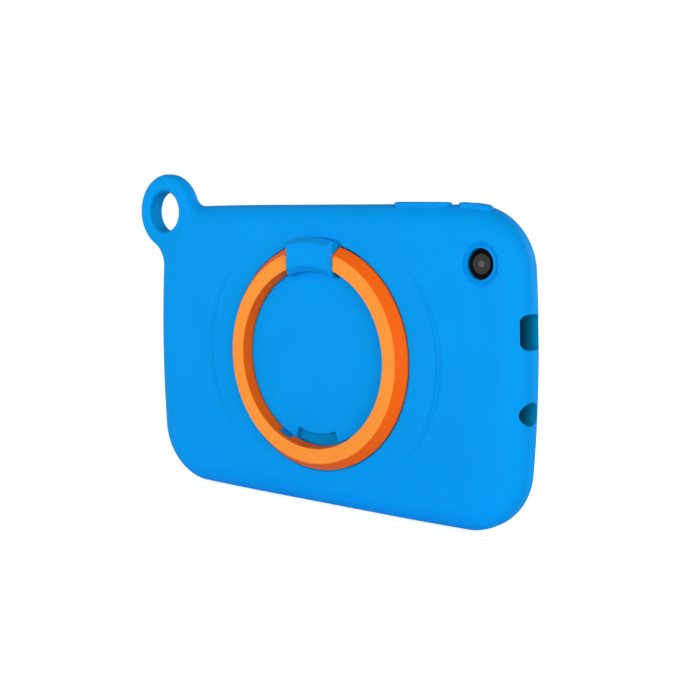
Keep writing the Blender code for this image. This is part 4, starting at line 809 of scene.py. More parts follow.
buttons = {}
for name, joint in (("volume", "volume_rock"), ("power", "power_press")):
    middle, (half, width, _) = middle_and_half(*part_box(name + "_cover"))
    buttons[name] = (middle, half, width)
    travel = BUTTON_GAP if name == "volume" else joints[joint]["range_m"][1]

    def pocket(spread):
        return moved(pill(half + BUTTON_GAP + spread, width + BUTTON_GAP + spread, 24), middle)

    sections = [[(x, y, case_top(x) - BUTTON_PLUG - travel - GAP) for x, y in pocket(0.0)]]
    sections += [[(x, y, case_top(x, y) - depth) for x, y in pocket(spread)]
                 for spread, depth in lip(BUTTON_LIP)]
    sections.append([(x, y, case_top(x) + POCKET_RISE) for x, y in pocket(BUTTON_LIP)])
    slot = moved(pill(half - STEM_INSET + BUTTON_GAP, STEM_WIDTH / 2 + BUTTON_GAP), middle)
    stem_hole = column("stem_hole", slot, tablet_high.z - GAP, case_top(0.0) - STEM_HOLE_END)
    carve(case, skin("button_pocket", sections), stem_hole)


# Painted shade: the faces that lie deeper, where the silicone gets less light (slopes, creases, walls and
# hollows), are chosen here for darker blues.
CRESCENT_ENDS = 1.02
SLOPE_NORMALS = (-0.95, -0.3)
DISH_CREASE = (0.0011, 0.0021)
DISH_DEPTH = 0.003
FACE_SLACK = 0.0003
RECESS_SLACK = 0.0004
RECESS_BED = 0.004
LOOP_WALL = 0.0012
WALL_NORMAL = 0.75


def on_crescent(middle, normal):
    """On a slope of one of the crescent ridges."""
    across, up = abs(middle.x), middle.z - ring_centre.z
    share = atan2(up, across) / radians(CRESCENT_ANGLE)
    beyond = sqrt(across ** 2 + up ** 2) - ring_radius - CRESCENT_OFFSET + CRESCENT_SAG * share ** 2
    on_slope = SLOPE_NORMALS[0] < normal.y < SLOPE_NORMALS[1]
    return abs(share) < CRESCENT_ENDS and abs(beyond) < CRESCENT_WIDTH / 2 and on_slope


def in_dish_crease(middle, normal):
    """At the bottom of the dish, round the camera's collar."""
    away = (Vector((middle.x, middle.z)) - Vector((camera_place.x, camera_place.z))).length - bore
    return DISH_CREASE[0] < away < DISH_CREASE[1] and middle.y < back_y + DISH_DEPTH


def in_recess(middle, normal):
    """On the floor and walls of the finger recess, in the ring's bed below it, and on the lugs."""
    beyond = sqrt(middle.x ** 2 + (middle.z - ring_centre.z) ** 2) - ring_inner
    low = middle.z < ring_centre.z and abs(middle.x) < ring_inner / 2
    within = -RECESS_REACH_IN - RECESS_SLACK < beyond < RECESS_BED
    return low and within and abs(middle.y - back_y) > FACE_SLACK


def in_loop_hole(middle, normal):
    """On the wall of the loop's hole, inside its lips."""
    away = Vector((middle.x - hole_place[0], middle.z - hole_place[2])).length
    return away < LOOP_HOLE + LOOP_WALL and abs(normal.y) < WALL_NORMAL


def in_port(middle, normal):
    """On the walls of the USB or the headphone opening."""
    if not tablet_high.x < middle.x < case_side(middle.y, middle.z) - FACE_SLACK:
        return False
    usb_off, jack_off = ((abs(middle.y - y), abs(middle.z - z)) for y, z in (usb_centre, jack_centre))
    in_usb = all(off < cut / 2 + PORT_LIP for off, cut in zip(usb_off, USB_CUT))
    return in_usb or Vector(jack_off).length < JACK_CUT_RADIUS + PORT_LIP


# Painted shade: the port walls darken from blue at the mouth to near-black deep inside.
painted_port_shade, tree, shader = principled("silicone_port_painted_shade", PORT_SHADE_BLUES[1], 0.7, Specular_IOR_Level=0.02)
port_shade_depth = rescaled(tree, along(tree, "X"), tablet_high.x, tablet_high.x + PORT_DEPTH)
link(tree, ramp(tree, port_shade_depth, *(linear(*colour) for colour in PORT_SHADE_BLUES), 0.0, 1.0), shader, "Base Color")
grain(tree, shader, *SILICONE_GRAIN, 0.5)

shade(case)
dress(case, silicone, "case", "case_blue", "bumper_case")
# Painted shade: darker blues on the crescent slopes, the dish's crease, the recess and lugs, the loop's hole
# and the port walls.
for painted_shade, chosen in ((crease, on_crescent), (crease, in_dish_crease), (painted_recess_shade, in_recess),
                     (painted_recess_shade, in_loop_hole), (painted_port_shade, in_port)):
    paint(case, painted_shade, chosen)

# ---------------- Ring stand
# Hard orange ring, moulded in one piece with the axle that bridges its cut-out top: a flat face, a
# sloped outer side, a straight inner side and a notch for each lug. It swings out of its groove as a
# stand or a handle. The ring is one profile swept round a circle.

RING_SLOPE = 0.0035
RING_EDGE = 0.0004
RING_ROUNDS = (0.0011, 0.0006, 0.0002, 0.0002, 0.0006)
RING_SOFTNESS = 0.0003
AXLE_RADIUS = 0.0015
AXLE_GRIP = 0.0005
RING_ORANGE = (255, 151, 58)
# The sides' darker orange is painted shade.
RING_SIDE_SHADE = (255, 104, 20)
FACE_FADE = (0.0001, 0.0004)
THROAT_REACH = 0.02
NOTCH_REACH_IN = 0.001


def blend(tree, share, first, second):
    """The first colour where the share is 0, the second where it's 1."""
    node = tree.nodes.new("ShaderNodeMix")
    node.data_type = "RGBA"
    for socket, source in ((0, share), (6, first), (7, second)):
        link(tree, source, node, socket)
    return node.outputs[2]


ring_finish, tree, shader = principled("ring_orange", RING_ORANGE, 0.42, Specular_IOR_Level=0.04)
face_tone = ramp(tree, noise(tree, 60.0), dimmed(RING_ORANGE, 0.965), linear(*RING_ORANGE))
# Painted shade: below the face, the ring's sides fade to a darker, redder orange.
side_shade_share = rescaled(tree, along(tree, "Y"), *(ring_low.y + depth for depth in FACE_FADE))
link(tree, blend(tree, side_shade_share, face_tone, (*dimmed(RING_SIDE_SHADE, 0.98), 1.0)), shader, "Base Color")
gloss(tree, shader, 180.0, 4.0, 0.38, 0.48)
grain(tree, shader, 1500.0, 0.00002, 0.35)


def tree_of(name, **inputs):
    """An empty modifier tree with named inputs, each of its kind; returns the tree and its inputs."""
    made = bpy.data.node_groups.new(name, "GeometryNodeTree")
    made.interface.new_socket("Geometry", in_out="INPUT", socket_type="NodeSocketGeometry")
    for label, kind in inputs.items():
        made.interface.new_socket(label, in_out="INPUT", socket_type="NodeSocket" + kind)
    made.interface.new_socket("Geometry", in_out="OUTPUT", socket_type="NodeSocketGeometry")
    return made, made.nodes.new("NodeGroupInput").outputs


def end_tree(made, geometry, material):
    """Makes the geometry real, gives it its material and hands it out of the tree."""
    real = add(made, "GeometryNodeRealizeInstances", Geometry=geometry)
    coat = add(made, "GeometryNodeSetMaterial", Geometry=real, Material=material)
    link(made, coat, made.nodes.new("NodeGroupOutput"))


def grow(name, made, base=None, **sizes):
    """Runs a tree on the points or lines of a base, with its named sizes, and returns plain mesh."""
    mesh = bpy.data.meshes.new(name)
    if base:
        mesh.from_pydata(*base)
    piece = enlist(name, mesh)
    step = piece.modifiers.new(made.name, "NODES")
    step.node_group = made
    for socket in made.interface.items_tree:
        if socket.name in sizes:
            step[socket.identifier] = sizes[socket.name]
    return settle(piece)


sweep, sizes = tree_of("ring_sweep", radius="Float", steps="Int", plastic="Material")
hoop = add(sweep, "GeometryNodeCurvePrimitiveCircle", Radius=sizes["radius"], Resolution=sizes["steps"])
section = add(sweep, "GeometryNodeMeshToCurve", Mesh=sizes["Geometry"])
solid = add(sweep, "GeometryNodeCurveToMesh", Curve=hoop, Profile_Curve=section)
end_tree(sweep, solid, sizes["plastic"])


def rounded(corners, steps=5):
    """Closed profile whose corners, given as (radius, height, round), are rounded off."""
    points = []
    for i, (r, h, size) in enumerate(corners):
        here = Vector((r, h))
        if not size:
            points.append((r, h))
            continue
        back, ahead = (Vector(corners[j % len(corners)][:2]) - here for j in (i - 1, i + 1))
        back.normalize()
        ahead.normalize()
        turn = sqrt((1 + back.dot(ahead)) / 2)
        run = size * turn / sqrt(1 - turn ** 2)
        centre = here + (back + ahead).normalized() * size / sqrt(1 - turn ** 2)
        first, last = here + back * run - centre, here + ahead * run - centre
        sweep_angle = first.angle_signed(last)
        points += [tuple(centre + Matrix.Rotation(-sweep_angle * k / steps, 2) @ first)
                   for k in range(steps + 1)]
    return points


slope_top = ring_radius - RING_SLOPE
base_inner = ring_inner - RING_DRAFT
corners = ((slope_top, RING_HEIGHT), (ring_radius, RING_EDGE), (ring_radius, -RING_FOOT),
           (base_inner, -RING_FOOT), (ring_inner, RING_HEIGHT))
corners = [(*corner, size) for corner, size in zip(corners, RING_ROUNDS)]
profile = [(radius - ring_radius, height, 0.0) for radius, height in rounded(corners)]
around = [(i, (i + 1) % len(profile)) for i in range(len(profile))]
ring = grow("ring_stand_moulding", sweep, (profile, around, []), radius=ring_radius, steps=256,
            plastic=ring_finish)
bm = bmesh.new()
bm.from_mesh(ring.data)
bm.transform(Matrix.Translation(ring_centre) @ Matrix.Rotation(-pi / 2, 4, "X"))
bmesh.ops.recalc_face_normals(bm, faces=bm.faces)
bm.to_mesh(ring.data)
bm.free()
end = SADDLE_HALF_WIDTH + GAP
carve(ring, block("ring_throat", (-end, back_y - THROAT_REACH, ring_centre.z),
                  (end, back_y + THROAT_REACH, ring_centre.z + 2 * ring_radius)))
for side in (-1, 1):
    low, high = sorted((side * NOTCH_ANGLES[0], side * NOTCH_ANGLES[1]))
    outline = sector(base_inner - NOTCH_REACH_IN, ring_inner + NOTCH_REACH, low - 90, high - 90)
    carve(ring, slab("notch", outline, back_y - NOTCH_HEIGHT, back_y + LAND_REACH))
axle_end = end + AXLE_GRIP
carve(ring, rod("ring_axle", AXLE_RADIUS, -axle_end, axle_end, hinge, 48, "X"), operation="UNION")
soften(ring, RING_SOFTNESS, 3, 50.0)
shade(ring)
dress(ring, ring_finish, "ring", "ring_orange", "ring_stand")

# ---------------- Hinge saddle
# Blue block that holds the ring's axle down on the case: a rounded hump that follows the ring, with
# leaning ends, and three posts that go through the case's back to a steel plate.

SADDLE_FACE_HALF = 0.0110
SADDLE_REACH_IN = 0.0026
SADDLE_REACH_OUT = 0.0022
SADDLE_HEIGHT = 0.0074
SADDLE_SHOULDER = 0.0044
SADDLE_BEVELS = ((0.0027, 0.0031), (0.0022, 0.0036))
SADDLE_SOFTNESS = 0.00045
SADDLE_SCREW_LENGTH = 0.0050
POST_ROOT = 0.0020
TAP_REACH = 0.006
SCREW_RADIUS = 0.0008

outer, inner = ring_radius + SADDLE_REACH_OUT, ring_inner - SADDLE_REACH_IN
(inner_run, inner_drop), (outer_run, outer_drop) = SADDLE_BEVELS
profile = rounded(((outer - outer_run, SADDLE_HEIGHT, 0.0016), (outer, SADDLE_HEIGHT - outer_drop, 0.0007),
                   (outer, GAP, 0.0), (inner, GAP, 0.0), (inner, SADDLE_HEIGHT - inner_drop, 0.0012),
                   (inner + inner_run, SADDLE_HEIGHT, 0.0018)), 8)
saddle = turned("saddle_moulding", profile, ring_centre, 288)
sides = ((SADDLE_HALF_WIDTH, -SADDLE_HEIGHT), (SADDLE_HALF_WIDTH, SADDLE_SHOULDER),
         (SADDLE_FACE_HALF, SADDLE_HEIGHT), (SADDLE_FACE_HALF, 2 * SADDLE_HEIGHT))
outline = [(x, back_y - height) for x, height in sides]
outline += [(-x, y) for x, y in reversed(outline)]
carve(saddle, column("saddle_sides", outline, ring_centre.z + ring_inner / 2,
                     ring_centre.z + 1.5 * ring_radius), operation="INTERSECT")
soften(saddle, SADDLE_SOFTNESS, 4, 32.0)
post_end = anchor_low.y - GAP
for x, z in POST_PLACES:
    length = (post_end - back_y) + POST_ROOT
    carve(saddle, rod("post", POST_RADIUS, POST_ROOT, POST_ROOT - length, (x, back_y, hinge.z + z), 32),
          operation="UNION")
channel = AXLE_RADIUS + GAP
reach = SADDLE_HALF_WIDTH + 0.001
bore = rod("axle_channel", channel, -reach, reach, hinge, 48, "X")
slot = block("axle_slot", (-reach, hinge.y, hinge.z - channel), (reach, back_y, hinge.z + channel))
carve(saddle, bore, slot)
tip = anchor_high.y - SADDLE_SCREW_LENGTH - GAP
for x, z in POST_PLACES:
    carve(saddle, rod("tap", SCREW_RADIUS + GAP, back_y - tip, -TAP_REACH, (x, back_y, hinge.z + z), 24))
shade(saddle)
saddle_blue = surface("saddle_blue", SILICONE_BLUE, 0.36, (0.965, 70.0), (*SILICONE_GRAIN, 0.4),
                      (260.0, 4.0, 0.31, 0.41), Specular_IOR_Level=0.02)
dress(saddle, saddle_blue, "case", "case_blue", "hinge_saddle")

# ---------------- Anchor plate and screws
# Steel plate in the case's back wall with the three screws that pull the saddle to it, and the small
# flat-headed screws that hold the tablet's mid frame and its board. One tree makes every screw: a
# turned head with a cross recess, and a shank with its thread wound round it.

SCREW_HEAD = (0.0015, 0.0005)
SCREW_COUNTS = (("saddle_screw", 3), ("frame_screw", 6), ("board_screw", 3))
HEAD_TOP = 0.78
CROSS_REACH, CROSS_WIDTH, CROSS_DEPTH = 1.15, 0.26, 1.1
THREAD_PITCH = 0.0004
THREAD_CORE, THREAD_RUN, THREAD_END = 0.78, 0.88, 0.94
steel = surface("zinc_plated_steel", (178, 180, 184), 0.32, (0.86, 900.0), None, (3500.0, 4.0, 0.26, 0.42),
                Metallic=1.0)


def finish_nodes(finish, *names):
    """Gives solids that stay as they are their material."""
    for name in names:
        for place in nodes[name].material_slots:
            place.material = finish


finish_nodes(steel, "saddle_anchor_plate")

screws, sizes = tree_of("screw", length="Float", shank_radius="Float", head_radius="Float", head_height="Float",
                        thread_pitch="Float", metal="Material")
long, wide, high = sizes["length"], sizes["head_radius"], sizes["head_height"]


def times(made, source, factor):
    """A value of a tree so many times over."""
    return maths(made, "MULTIPLY", source, factor)


def place_at(made, x, y, z):
    """Three numbers as one place."""
    return add(made, "ShaderNodeCombineXYZ", X=x, Y=y, Z=z)


def shifted(made, geometry, x=0.0, y=0.0, z=0.0, turn=None):
    """The geometry moved, and turned if a turn is given."""
    node = add(made, "GeometryNodeTransform", Geometry=geometry, Translation=place_at(made, x, y, z))
    if turn:
        node.inputs["Rotation"].default_value = turn
    return node


def joined(made, *parts):
    """Several meshes as one."""
    node = made.nodes.new("GeometryNodeJoinGeometry")
    for part in reversed(parts):
        link(made, part, node)
    return node


half_head = times(screws, high, 0.5)
rim = add(screws, "GeometryNodeMeshCylinder", Vertices=40, Radius=wide, Depth=half_head)
dome = add(screws, "GeometryNodeMeshCone", Vertices=40, Radius_Bottom=wide,
           Radius_Top=times(screws, wide, HEAD_TOP), Depth=half_head)
dome.fill_type = "NGON"
disc = joined(screws, shifted(screws, rim, z=times(screws, half_head, 0.5)), shifted(screws, dome, z=half_head))
head = add(screws, "GeometryNodeMeshBoolean", "DIFFERENCE", a_0=disc)
arm, width = times(screws, wide, CROSS_REACH), times(screws, wide, CROSS_WIDTH)
for x, y in ((arm, width), (width, arm)):
    cut = add(screws, "GeometryNodeMeshCube", Size=place_at(screws, x, y, times(screws, high, CROSS_DEPTH)))
    link(screws, shifted(screws, cut, z=high), head, 1)
core = times(screws, sizes["shank_radius"], THREAD_CORE)
shank = add(screws, "GeometryNodeMeshCone", Vertices=28, Radius_Top=core, Radius_Bottom=core, Depth=long)
run = times(screws, long, THREAD_RUN)
helix = add(screws, "GeometryNodeCurveSpiral", Resolution=20, Start_Radius=core, End_Radius=core, Height=run,
            Rotations=maths(screws, "DIVIDE", run, sizes["thread_pitch"]))
ridge = add(screws, "GeometryNodeCurvePrimitiveCircle", Resolution=4,
            Radius=maths(screws, "SUBTRACT", sizes["shank_radius"], core))
thread = add(screws, "GeometryNodeCurveToMesh", Curve=helix, Profile_Curve=ridge, Fill_Caps=True)
whole = joined(screws, head, shifted(screws, shank, z=times(screws, long, -1.0)),
               shifted(screws, thread, z=times(screws, long, -THREAD_END)))
spots = add(screws, "GeometryNodeMeshToPoints", Mesh=sizes["Geometry"])
copies = add(screws, "GeometryNodeInstanceOnPoints", Points=spots,
             Instance=shifted(screws, whole, turn=(-pi / 2, 0.0, 0.0)))
end_tree(screws, copies, sizes["metal"])

for kind, count in SCREW_COUNTS:
    names = [f"{kind}_{i + 1}" for i in range(count)]
    boxes = [middle_and_half(*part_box(name)) for name in names]
    seats = [(x, y + half_y - SCREW_HEAD[1], z) for (x, y, z), (_, half_y, _) in boxes]
    length = 2 * boxes[0][1][1] - SCREW_HEAD[1]
    piece = grow(kind + "s", screws, (seats, [], []), length=length, shank_radius=SCREW_RADIUS,
                 head_radius=SCREW_HEAD[0], head_height=SCREW_HEAD[1], thread_pitch=THREAD_PITCH, metal=steel)
    shade(piece, 40.0)
    dress(piece, steel, "case", "steel", *names)

# ---------------- Button covers and keys
# Soft covers on the top edge, in the case's blue, each with two low pads to press and a dip between
# them; a stem under each reaches the tablet's own key.

BUTTON_RISE = 0.0010
PAD_ROUND = 0.0012
PAD_RUN_OUT = 0.0013
PAD_SHOULDER = 0.92
PAD_DIP = 0.00015
PAD_LENGTH = 0.0046
PAD_NOTCH = (0.0011, 0.0006)
STEM_ROOT = 0.0010


def long_pill(half_run, half_width, steps=14, side_steps=48):
    """Slot with round ends, about its centre, with its long sides split evenly."""
    reach = half_run - half_width
    side = [2 * reach * i / side_steps - reach for i in range(1, side_steps)]
    points = arc((reach, 0.0), half_width, -pi / 2, pi / 2, steps)
    points += [(-x, half_width) for x in side]
    points += arc((-reach, 0.0), half_width, pi / 2, 3 * pi / 2, steps)
    return points + [(x, -half_width) for x in side]


def pad_height(x, half):
    """1 on the pads at a cover's two ends, less in the dip between them and in the notch beside each."""
    beyond = half - abs(x) - PAD_LENGTH
    share = min(1.0, max(0.0, beyond / PAD_NOTCH[0]))
    notch = max(0.0, 1 - abs(beyond) / PAD_NOTCH[0])
    return 1.0 - (PAD_DIP * share + PAD_NOTCH[1] * notch) / BUTTON_RISE


finish_nodes(surface("key_black", (22, 22, 24), 0.4, (0.8, 400.0), (4000.0, 0.00001, 0.4)),
             "volume_key", "power_key")
for name, (middle, half, width) in buttons.items():
    dome = [(0.0, -BUTTON_PLUG), (0.0, 0.0)]
    dome += [(PAD_ROUND * (1 - cosine), BUTTON_RISE * PAD_SHOULDER * sine)
             for sine, cosine in quarter(8)[1:]]
    dome += [(PAD_ROUND + (width - PAD_RUN_OUT) * i / 4,
              BUTTON_RISE * (PAD_SHOULDER + (1 - PAD_SHOULDER) * sin(pi / 2 * i / 4))) for i in range(1, 5)]
    sections = [[(middle[0] + x, middle[1] + y,
                  case_top(middle[0] + x) + (rise * pad_height(x, half) if rise > 0 else rise))
                 for x, y in long_pill(half - inset, width - inset)] for inset, rise in dome]
    cover = skin(name + "_pad", sections)
    key_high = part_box(name + "_key")[1]
    stem = moved(pill(half - STEM_INSET, STEM_WIDTH / 2), middle)
    top = centre_z + half_height - BUTTON_PLUG + STEM_ROOT
    carve(cover, column("stem", stem, key_high.z + GAP, top), operation="UNION")
    shade(cover, 40.0)
    dress(cover, silicone, name + "_button", "case_blue", name + "_cover")

# ---------------- Rear camera
# Black bezel that stands on the tablet's rear cover, a dark glass window set in it, and under that the
# camera module with its small lens.

BEZEL_SHELF = 0.0009
BEZEL_INNER_EDGE = 0.0003
BEZEL_OUTER_EDGE = (0.0006, 0.0004)
WINDOW_EDGE = 0.00012
window_low, window_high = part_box("camera_window")
bezel_place = Vector((camera_place.x, bezel_high.y, camera_place.z))
bezel_height = bezel_high.y - bezel_low.y
shelf_height = bezel_high.y - window_high.y - GAP
window_radius = middle_and_half(window_low, window_high)[1][0]
bore = window_radius + GAP
shelf = bore - BEZEL_SHELF
camera_black = surface("camera_black", (7, 7, 8), 0.4, (0.8, 500.0), (3200.0, 0.00001, 0.3),
                       Specular_IOR_Level=0.03)
corners = ((bore, shelf_height, 0.0), (bore, bezel_height - BEZEL_INNER_EDGE, 0.0002),
           (bezel_radius - BEZEL_OUTER_EDGE[0], bezel_height, 0.0002),
           (bezel_radius, bezel_height - BEZEL_OUTER_EDGE[1], 0.0002),
           (bezel_radius, 0.0, 0.0001), (shelf, 0.0, 0.0001), (shelf, shelf_height, 0.0001))
bezel = turned("camera_ring", rounded(corners), bezel_place, 128)
shade(bezel, 50.0)
dress(bezel, camera_black, "case", "plastic_black", "camera_bezel")


def rings(tree, centre, radius, stops):
    """Colours out from a point, as pairs of a share of the radius and a colour in bytes."""
    away = add(tree, "ShaderNodeVectorMath", "DISTANCE", a_0=own_place(tree), a_1=centre).outputs["Value"]
    made = add(tree, "ShaderNodeValToRGB", a_0=maths(tree, "DIVIDE", away, radius))
    for share, colour in stops[1:-1]:
        made.color_ramp.elements.new(share)
    for stop, (share, colour) in zip(made.color_ramp.elements, stops):
        stop.position, stop.color = share, opaque(colour)
    return made


lens_glass, tree, shader = principled("camera_glass", (40, 41, 43), 0.12, Specular_IOR_Level=0.22)
link(tree, rings(tree, (camera_place.x, window_low.y, camera_place.z), window_radius, (
    (0.0, (70, 70, 72)), (0.12, (60, 60, 62)), (0.16, (104, 104, 106)), (0.24, (96, 96, 98)),
    (0.30, (40, 40, 42)), (0.84, (26, 26, 28)), (0.89, (48, 46, 48)), (0.93, (8, 8, 9)),
    (1.0, (12, 12, 13)))), shader, "Base Color")
depth = window_high.y - window_low.y
profile = [(0.0, depth)] + [(window_radius - WINDOW_EDGE * (1 - sine), depth - WINDOW_EDGE * (1 - cosine))
                            for sine, cosine in quarter(4)] + [(window_radius, 0.0), (0.0, 0.0)]
window = turned("camera_glass_disc", profile, Vector((camera_place.x, window_high.y, camera_place.z)))
shade(window, 40.0)
dress(window, lens_glass, "case", "lens_glass", "camera_window")
finish_nodes(camera_black, "rear_camera_module", "front_camera_module")

# ---------------- Touch glass and display
# Black glass over the whole front, with a slightly paler field where the display lies and a small
# camera lens beside it; the display sits in the mid frame's tray behind it.

display_half = middle_and_half(*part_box("display_panel"))[1]
front_x = middle_and_half(*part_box("front_camera_module"))[0][0]
GLASS_ROUND = (0.0004, 0.0004)
DISPLAY_EDGE = 0.0020
FRONT_LENS_RADIUS = 0.0030
black_glass, tree, shader = principled("glass_black", (9, 9, 11), 0.08, Specular_IOR_Level=0.35)


def step_inside(axis, middle, half):
    """1 where a coordinate is within half of the middle, 0 outside."""
    return maths(tree, "COMPARE", along(tree, axis), middle, half)


field = maths(tree, "MULTIPLY", step_inside("X", 0.0, display_half[0] - DISPLAY_EDGE),
              step_inside("Z", centre_z, display_half[2] - DISPLAY_EDGE))
front_lens = rings(tree, (front_x, glass_high.y, centre_z), FRONT_LENS_RADIUS, (
    (0.0, (44, 48, 70)), (0.22, (26, 28, 40)), (0.26, (6, 6, 8)), (0.50, (6, 6, 8)), (0.54, (34, 34, 38)),
    (0.62, (34, 34, 38)), (0.66, (9, 9, 11)), (1.0, (9, 9, 11))))
dark_field = ramp(tree, noise(tree, 40.0), linear(22, 24, 29), linear(25, 27, 32))
link(tree, blend(tree, field, front_lens, dark_field), shader, "Base Color")
gloss(tree, shader, 55.0, 5.0, 0.06, 0.13)
levels = round_levels(glass_low.y, glass_high.y, GLASS_ROUND, GLASS_ROUND, (5, 5))
glass = upright_skin("touch_glass_sheet", lambda inset: tablet_outline(GAP + inset), levels)
shade(glass, 40.0)
dress(glass, black_glass, "case", "glass_black", "touch_glass")

finish_nodes(surface("display_backing", (24, 26, 32), 0.35, (0.7, 90.0), (1800.0, 0.00001, 0.3)),
             "display_panel")

# ---------------- Tablet shells
# Rear cover in textured black plastic and the grey mid frame that is screwed to its bosses.

finish_nodes(surface("shell_black", (26, 26, 28), 0.5, (0.8, 120.0), (3600.0, 0.00003, 0.7)), "rear_cover")
finish_nodes(surface("frame_grey", (112, 114, 118), 0.42, (0.88, 150.0), (2400.0, 0.00002, 0.5)), "mid_frame")

# ---------------- Ports
# USB socket with a tin shell and a tongue with its gold contacts, and a black headphone socket.

CONTACTS = 5
CONTACT_PITCH = 0.00065
CONTACT_SIZE = (0.0030, 0.0001, 0.0003)
CONTACT_PLACE = (-0.0029, 0.00035)
tin = surface("tin_plate", (190, 190, 188), 0.3, (0.85, 500.0), None, (1600.0, 4.0, 0.24, 0.42),
              Metallic=1.0)
gold = surface("contact_gold", (212, 170, 92), 0.25, (0.85, 2500.0), Metallic=1.0)
finish_nodes(tin, "usb_socket")
finish_nodes(surface("socket_black", (20, 20, 22), 0.45, (0.8, 600.0), (5000.0, 0.00001, 0.4)),
             "headphone_socket")
contact_row, sizes = tree_of("contact_row", count="Int", pitch="Float", length="Float", width="Float",
                             thickness="Float", metal="Material")
line = add(contact_row, "GeometryNodeMeshLine", Count=sizes["count"],
           Offset=place_at(contact_row, 0.0, 0.0, sizes["pitch"]))
strip = add(contact_row, "GeometryNodeMeshCube",
            Size=place_at(contact_row, sizes["length"], sizes["thickness"], sizes["width"]))
copies = add(contact_row, "GeometryNodeInstanceOnPoints", Points=line, Instance=strip)
end_tree(contact_row, copies, sizes["metal"])
contacts = grow("usb_contacts", contact_row, count=CONTACTS, pitch=CONTACT_PITCH, length=CONTACT_SIZE[0],
                thickness=CONTACT_SIZE[1], width=CONTACT_SIZE[2], metal=gold)
first_contact = Vector((usb_high.x + CONTACT_PLACE[0], port_y + CONTACT_PLACE[1],
                        usb_z - CONTACT_PITCH * (CONTACTS - 1) / 2))
for corner in contacts.data.vertices:
    corner.co += first_contact
dress(contacts, gold, "case", "steel")

# ---------------- Battery
# Flat pouch cell in crinkled silver foil, glued in the rear cover, with an amber ribbon of copper
# tracks to the ivory plug on the board.

finish_nodes(surface("battery_foil", (186, 188, 192), 0.36, (0.88, 60.0), (240.0, 0.0001, 0.6, 5.0),
                     (140.0, 5.0, 0.28, 0.46), Metallic=0.7), "battery")

RIBBON_AMBER = (206, 124, 34)
TRACK_COPPER = (150, 84, 26)
TRACK_EDGES = (0.23, 0.27)


def tracked(name, axis, pitch, ground=RIBBON_AMBER, track=TRACK_COPPER, roughness=0.32):
    """Film with tracks under it, side by side along an axis; returns the material, tree and shader."""
    made, tree, shader = principled(name, ground, roughness)
    beat = maths(tree, "PINGPONG", along(tree, axis), pitch / 2)
    link(tree, ramp(tree, beat, linear(*track), linear(*ground), *(share * pitch for share in TRACK_EDGES)),
         shader, "Base Color")
    gloss(tree, shader, 900.0, 3.0, roughness - 0.06, roughness + 0.06)
    return made, tree, shader


finish_nodes(tracked("battery_film", "Z", 0.0014)[0], "battery_ribbon")
finish_nodes(surface("plug_ivory", (228, 221, 200), 0.45, (0.94, 700.0), (4200.0, 0.00001, 0.4)),
             "battery_connector", "display_connector")

# ---------------- Main board
# Green board with its tin shield and card socket; small black chips and tan capacitors are soldered
# in the free places between them. One tree sets a small box, of a size that varies, on each place.

BOARD_GREEN = (22, 96, 54)
CHIP_GRID = (0.0066, 0.0022, 0.0034)
CAPACITOR_GRID = (0.0033, 0.0010, 0.0017)
CHIP_CLEARANCE = 0.0027
SOLDER_EDGE = 0.00005
board_mask, tree, shader = tracked("board_mask", "X", 0.0011, BOARD_GREEN, (30, 118, 66), 0.34)
grain(tree, shader, 2400.0, 0.00001, 0.4)
finish_nodes(board_mask, "main_board")
finish_nodes(tin, "shield_can", "card_socket", "microphone")
chip_black = surface("chip_black", (24, 24, 27), 0.5, (0.8, 900.0), (6000.0, 0.00001, 0.5))
ceramic_tan = surface("ceramic_tan", (176, 142, 98), 0.5, (0.85, 1500.0), (6000.0, 0.00001, 0.4))

parts, sizes = tree_of("soldered_parts", smallest="Vector", largest="Vector", seed="Int", finish="Material")
spots = add(parts, "GeometryNodeMeshToPoints", Mesh=sizes["Geometry"])
unit = add(parts, "GeometryNodeMeshCube", Size=place_at(parts, 1.0, 1.0, 1.0))
spread = parts.nodes.new("FunctionNodeRandomValue")
spread.data_type = "FLOAT_VECTOR"
for socket, source in (("Min", "smallest"), ("Max", "largest"), ("Seed", "seed")):
    parts.links.new(sizes[source], next(s for s in spread.inputs if s.name == socket and s.enabled))
copies = add(parts, "GeometryNodeInstanceOnPoints", Points=spots, Instance=shifted(parts, unit, y=0.5),
             Scale=next(s for s in spread.outputs if s.enabled))
end_tree(parts, copies, sizes["finish"])

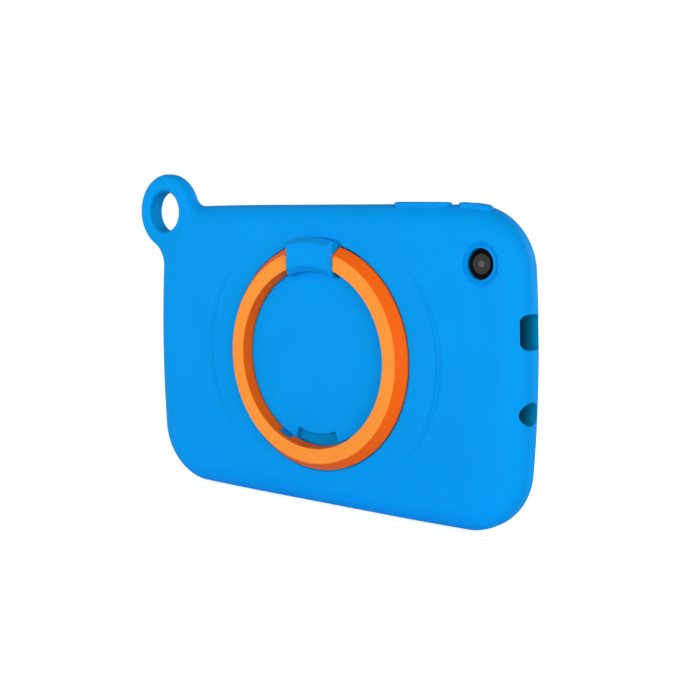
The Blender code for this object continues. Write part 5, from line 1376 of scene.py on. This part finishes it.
board_low, board_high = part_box("main_board")
standing = [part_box(name) for name in ("shield_can", "card_socket", "battery_connector", "display_connector",
                                      "display_ribbon", "microphone", "usb_socket", "headphone_socket",
                                      "rear_camera_module", "board_screw_1", "board_screw_2", "board_screw_3")]


def free_places(pitch, margin, start):
    """Places on a grid over the board's front face that are clear of all that stands on it."""
    places = []
    for column in range(int((board_high.x - board_low.x) / pitch)):
        for row in range(int((board_high.z - board_low.z) / pitch)):
            x, z = board_low.x + start + pitch * column, board_low.z + start + pitch * row
            on_board = all(nodes["main_board"].ray_cast((x + u, 0.0, z + v), (0.0, -1.0, 0.0))[0]
                           for u in (-margin, margin) for v in (-margin, margin))
            clear = all(x < low.x - margin or x > high.x + margin or z < low.z - margin or z > high.z + margin
                        for low, high in standing)
            if on_board and clear:
                places.append((x, board_high.y, z))
    return places


chips = free_places(*CHIP_GRID)
small = [place for place in free_places(*CAPACITOR_GRID)
         if all(max(abs(place[0] - x), abs(place[2] - z)) > CHIP_CLEARANCE for x, y, z in chips)]
for name, places, least, most, seed, finish in (
        ("board_chips", chips, (0.0022, 0.0007, 0.0022), (0.0036, 0.0009, 0.0036), 4, chip_black),
        ("board_capacitors", small, (0.0006, 0.0004, 0.0010), (0.0008, 0.0006, 0.0014), 9, ceramic_tan)):
    piece = grow(name, parts, (places, [], []), smallest=least, largest=most, seed=seed, finish=finish)
    soften(piece, SOLDER_EDGE, 1)
    dress(piece, finish, "case", "plastic_black")

# ---------------- Speaker, antenna, switches, ribbons
# Black speaker box behind its slots, an antenna printed on film, the film with the three tin switches
# behind the keys, and the wide film from the display to its plug.

finish_nodes(surface("speaker_black", (30, 30, 32), 0.55, (0.8, 250.0), (3000.0, 0.00002, 0.6)),
             "speaker_module")
finish_nodes(tracked("antenna_film", "Z", 0.0018, (214, 176, 96), (186, 112, 58), 0.3)[0], "wifi_antenna")
finish_nodes(tracked("button_film", "Y", 0.0012)[0], "button_board")
finish_nodes(tin, "volume_up_switch", "volume_down_switch", "power_switch")
finish_nodes(tracked("display_film", "X", 0.0010)[0], "display_ribbon")
